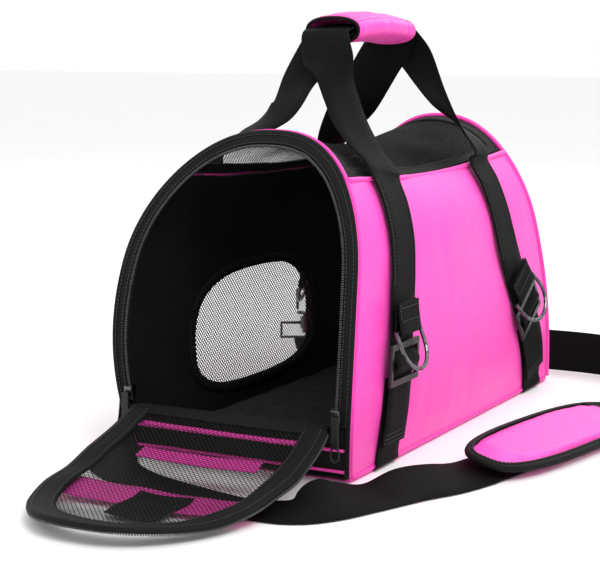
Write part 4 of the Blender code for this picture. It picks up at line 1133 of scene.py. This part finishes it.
def door():
    outline = door_outline()
    heights, halves = outline[:, 0], outline[:, 1]
    bottom, top = DOOR_LOW, heights.max()

    def half_at(z):
        return float(np.interp(z, heights, halves))

    foot = arch_at(DOOR_LOW)
    margin = 0.007

    def inside(a, b):
        z = bottom + b
        return z < top - margin and abs(a - 0.1) < half_at(z + margin * 0.6) - margin and b > 0.001

    netting(NET_PITCH, 0.2, top - bottom, inside, lambda a, b: on_door(a - 0.1, bottom + b, 0.0), "net",
            "door_net", "door", ("door_mesh",), 0.84)

    def rim(u, inwards, out):
        t = foot + (1 - 2 * foot) * u
        x, z = door_edge(t, inwards)
        return on_door(x, z, out)

    outside = door_point(0, 0.15, -1.0)
    inner = grid(170, 6,
                 lambda u, v: rim(u, DOOR_BINDING * (1 - v), -0.0018 - 0.0010 * math.sin(math.pi * v)),
                 (0.62, DOOR_BINDING), outside)
    bmesh.ops.reverse_faces(inner, faces=inner.faces)
    thicken(place(inner, "door_tape", "tape", "door", ("door_binding",)), 0.0010, 0.0)
    outer = grid(170, 4, lambda u, v: rim(u, 0.013 * (1 - v), 0.0016), (0.62, 0.013), outside)
    thicken(place(outer, "door_zipper_tape", "tape", "door"), 0.0010, 0.0)
    edge = [rim(u, 0.0004, -0.0002) for u in np.linspace(0, 1, 200)]
    tube("door_edge_cord", "cord", "door", edge, 0.0021)
    teeth_line = [rim(u, -0.0006, 0.0026) for u in np.linspace(0, 1, 300)]
    normals = [(0, -0.3, 1)] * len(teeth_line)
    frames = [(c, Vector(a).cross(Vector(n)), n) for c, a, n in spaced(teeth_line, normals, 0.0020)]
    bricks("door_teeth", "teeth", "door", frames, (0.0026, 0.0020, 0.0012), ("door_zipper_teeth",))
    lines = []
    for inwards in (0.0035, 0.0175):
        line = [rim(u, inwards, -0.0032) for u in np.linspace(0, 1, 260)]
        lines.append(facing_one_way(line, (0, 0.4, 1)))
    stitches("door_stitches", "door", lines)

    def strip_across(name, look, low, high, out, replaced=(), inset=0.004):
        def at(u, v):
            z = low + (high - low) * v
            reach = half_at(z) - inset
            return on_door((2 * u - 1) * reach, z, out)
        bm = grid(60, 6, at, (0.19, high - low), outside)
        return thicken(place(bm, name, look, "door", replaced), 0.0010, 0.0)

    strip_across("door_pink_band", "satin", BAND_LOW, BAND_HIGH, 0.0040, ("door_band",))
    strip_across("door_pink_line", "satin", 0.0670, 0.0710, 0.0018, inset=0.018)
    strip_across("door_pink_fold", "satin", 0.0980, 0.1120, 0.0022, inset=0.040)
    strip_across("door_low_tape", "tape", DOOR_LOW - 0.002, DOOR_LOW + 0.0080, -0.0012)

    def patch(u, v):
        x = PATCH_X[0] + (PATCH_X[1] - PATCH_X[0]) * u
        z = PATCH_Z[0] - PATCH_DROP + (PATCH_Z[1] - PATCH_Z[0]) * v
        return on_door(x + 0.002 * math.sin(7 * v), z + 0.0015 * math.sin(5 * u), 0.0022)

    bm = grid(20, 20, patch, (0.048, 0.048), outside)
    thicken(place(bm, "door_black_patch", "tape", "door", ("door_patch",)), 0.0010, 0.0)

    def fold(u, v):
        """The hinge: cloth that rolls from the sill's top edge into the door."""
        angle = math.radians(-20 + 135 * v)
        x = (2 * u - 1) * (half_width(SILL_HEIGHT) - 0.0190)
        centre = Vector((x, HINGE.y + 0.0030, HINGE.z - 0.0042))
        return centre + Vector((0, -0.0052 * math.sin(angle), 0.0052 * math.cos(angle)))

    bm = grid(60, 8, fold, (0.18, 0.013), (0, HINGE.y, HINGE.z - 0.004))
    thicken(place(bm, "door_fold", "tape", "bag", ("door_hinge_tape",)), 0.0010)


# ---- straps and grip ----


def lifted(points, normals, low, high, side_shift, out):
    """A line along part of a strap, moved sideways and off its face."""
    path, facing = np.array(points)[low:high], np.array(normals)[low:high]
    across = np.cross(np.gradient(path, axis=0), facing)
    across /= np.linalg.norm(across, axis=1)[:, None]
    facing = facing / np.linalg.norm(facing, axis=1)[:, None]
    return path + across * side_shift + facing * out, facing


def base_strap(end):
    y_of = STRAP_Y[end]
    points, normals = [], []
    for side in (1, -1):
        run = []
        for z in (BUCKLE_Z - 0.012, 0.060, 0.040, 0.022, 0.010):
            run.append(wall_point(side, y_of(z), z, STEP + 0.0005))
        corner = ((0.1052, 0.0042, 0.8, -0.6), (0.1000, 0.0013, 0.15, -1), (0.085, 0.0012, 0, -1),
                  (0.055, 0.0012, 0, -1), (0.020, 0.0012, 0, -1))
        for x, z, out_x, out_z in corner:
            run.append((Vector((side * x, y_of(0), z)), Vector((side * out_x, 0, out_z))))
        if side < 0:
            run.reverse()
        points += [tuple(p) for p, _ in run]
        normals += [tuple(n) for _, n in run]
    points, normals = smooth(points, 150), smooth(normals, 150)
    place(strip(points, normals, WEBBING_WIDTH - 0.001, 0.0015), f"base_webbing_{end}", "webbing", "bag",
          (f"base_strap_{end}",))


def carrying_strap(side_name):
    side = SIDES[side_name]
    drop, inset = (0.0, 0.0) if side > 0 else (0.0049, 0.0060)
    front, back = GRIP_Y[0] + inset, GRIP_Y[1] - inset
    middle = [((side * 0.002, front - 0.006, GRIP_Z - 0.0045 - drop), (side * 0.05, -0.70, 0.70)),
              ((side * 0.001, front + 0.004, GRIP_Z - 0.0005 - drop), (0, -0.20, 1)),
              ((0, -0.035, GRIP_Z + 0.0035 - drop), (0, -0.03, 1)),
              ((0, 0.020, GRIP_Z + 0.0040 - drop), (0, 0.03, 1)),
              ((side * 0.001, back - 0.004, GRIP_Z - 0.0005 - drop), (0, 0.20, 1)),
              ((side * 0.002, back + 0.006, GRIP_Z - 0.0045 - drop), (side * 0.05, 0.70, 0.70))]
    path = strap_leg(side_name, "front") + middle + strap_leg(side_name, "back")[::-1]
    points = smooth([tuple(p) for p, _ in path], 620)
    normals = smooth([tuple(n) for _, n in path], 620)
    place(strip(points, normals, WEBBING_WIDTH, WEBBING), f"carry_webbing_{side_name}", "webbing", "bag",
          (f"carry_strap_{side_name}",))
    per_point = 620 / len(path)
    lines = []
    for order in (1, -1):
        for low, high in ((0.2, 1.0), (11.5, 15.2)):
            first, last = int(low * per_point), int(high * per_point)
            if order < 0:
                first, last = 620 - last, 620 - first
            for shift in (-0.0195, 0.0195):
                lines.append(lifted(points, normals, first, last, shift, 0.0011))
        centre = int(0.6 * per_point) if order > 0 else 620 - int(0.6 * per_point)
        for step in (-4, 0, 4):
            at, facing = lifted(points, normals, centre + step - 1, centre + step + 2, 0.0, 0.0011)
            ahead = points[centre + step + 1] - points[centre + step - 1]
            cross = np.cross(ahead, facing[1])
            cross /= np.linalg.norm(cross)
            row = [at[1] + cross * s for s in np.linspace(-0.018, 0.018, 16)]
            lines.append(facing_one_way(row, facing[1]))
    stitches(f"carry_stitches_{side_name}", "bag", lines)


def keeper(side_name, end):
    side = SIDES[side_name]
    at, out, up = buckle_frame(side, end)
    axis = at + up * RING_AXIS_UP + out * RING_OUT[side]
    wall = 0.0055 - RING_OUT[side]
    round_bar = WIRE + GAP + 0.0008
    inner, outer = wall + 0.0016, wall + 0.0046
    side_view = [(0.0240, wall + 0.0014), (0.0160, inner), (0.0080, 0.45 * inner - 0.55 * round_bar * 0.87)]
    side_view += [(round_bar * math.sin(a), round_bar * math.cos(a))
                  for a in np.radians((150, 190, 230, 270, 310, 350, 390))]
    side_view += [(0.0090, 0.54 * outer + 0.46 * round_bar * 0.87), (0.0160, outer), (0.0240, wall + 0.0038)]
    ahead = np.gradient(np.array(side_view), axis=0)
    points = smooth([tuple(axis + up * rise + out * away) for rise, away in side_view], 90)
    normals = smooth([tuple(out * rise - up * away) for rise, away in ahead], 90)
    name = f"{side_name}_{end}"
    place(strip(points, normals, KEEPER_WIDTH, 0.0013), f"keeper_{name}", "webbing", "bag",
          (f"ring_keeper_{name}",))
    lines = []
    for share in (0.84, 0.96):
        spot = int(share * 89)
        ahead_here = points[min(spot + 1, 89)] - points[spot - 1]
        cross = np.cross(ahead_here, normals[spot])
        cross /= np.linalg.norm(cross)
        facing = -normals[spot] / np.linalg.norm(normals[spot])
        facing = facing if Vector(facing).dot(out) > 0 else -facing
        row = [points[spot] + facing * 0.0010 + cross * s for s in np.linspace(-0.017, 0.017, 14)]
        lines.append(facing_one_way(row, facing))
    for shift in (-0.0175, 0.0175):
        line, facing = lifted(points, normals, 75, 90, shift, 0.0)
        facing = np.array([n if Vector(n).dot(out) > 0 else -n for n in facing])
        lines.append((line + facing * 0.0010, facing))
    stitches(f"keeper_stitches_{name}", "bag", lines)


def grip():
    """The padded wrap round both carrying straps, the black cords along its ends and its flap."""
    middle_y = (WRAP_Y[0] + WRAP_Y[1]) / 2

    def piece(name, first, last, body, node, across, crease):
        def at(u, v):
            angle = math.radians(first + (last - first) * u)
            y = WRAP_Y[0] + (WRAP_Y[1] - WRAP_Y[0]) * v
            point = grip_point(angle, y)
            centre = Vector((0, y, grip_middle(y)))
            swell = 0.0016 * math.sin(math.pi * v) ** 0.4 if 0 < v < 1 else 0.0
            pinch = 0.0014 * math.exp(-((v - crease) / 0.03) ** 2)
            wave = ripple((u * 2, v * 5, 1.0), 2.0, 0.0010)
            return centre + (point - centre) * (1 + (swell - pinch + wave) / (point - centre).length)
        bm = grid(across, 60, at, (0.09 * (last - first) / 360 * 1.6, 0.119), (0, middle_y, GRIP_Z))
        thicken(place(bm, name, "satin", body, (node,)), 0.0018)
        return at

    wrap = piece("grip_satin", 147, 393, "bag", "grip_wrap", 60, 0.86)
    flap = piece("grip_flap_satin", 34, 144, "grip_flap", "grip_flap", 30, 0.86)
    for name, at, body, shares in (("grip_edge_stitches", wrap, "bag", (0.05, 0.95)),
                                   ("grip_flap_stitches", flap, "grip_flap", (0.05, 0.95))):
        lines = []
        for v in shares:
            line = [at(u, v) for u in np.linspace(0.03, 0.97, 50)]
            lines.append((line, [tuple(p - Vector((0, p.y, GRIP_Z))) for p in line]))
        stitches(name, body, lines, "pink_thread")
    for name, body, first, last in (("wrap", "bag", 147, 393), ("flap", "grip_flap", 34, 144)):
        for end, y in (("front", WRAP_Y[0]), ("back", WRAP_Y[1])):
            line = []
            for angle in np.radians(np.linspace(first, last, 50)):
                point = grip_point(angle, y)
                centre = Vector((0, y, grip_middle(y)))
                line.append(centre + (point - centre) * 0.945)
            tube(f"grip_{name}_edge_{end}", "cord", body, line, 0.0015)


# ---- hardware that the CAD made ----


def hardware():
    """Gives the nodes that stay as the CAD made them their plastic, metal or board look."""
    looks = {"strap_buckle": "plastic", "strap_adjuster": "plastic", "zipper_pull": "plastic",
             "zipper_slider": "metal", "d_ring": "metal", "snap_hook": "metal", "hook_gate": "metal",
             "swivel_eye": "metal", "floor_board": "board"}
    for name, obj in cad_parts.items():
        for start_of_name, look in looks.items():
            if name.startswith(start_of_name):
                for item in obj.material_slots:
                    item.material = MATERIALS[look]
                smooth_by_angle(obj)


def smooth_by_angle(obj):
    """Round stretches shade smooth and corners stay crisp; the mesh itself isn't changed."""
    for polygon in obj.data.polygons:
        polygon.use_smooth = True
    edge = obj.modifiers.new("crisp_edges", "EDGE_SPLIT")
    edge.split_angle = math.radians(38)


studio()
shoulder_strap()
shoulder_pad()
side_panels()
side_window()
roof()
front_end()
back_end()
base()
floor_insert()
door()
for end in ("front", "back"):
    base_strap(end)
for side_name in SIDES:
    carrying_strap(side_name)
    for end in ("front", "back"):
        keeper(side_name, end)
grip()
hardware()
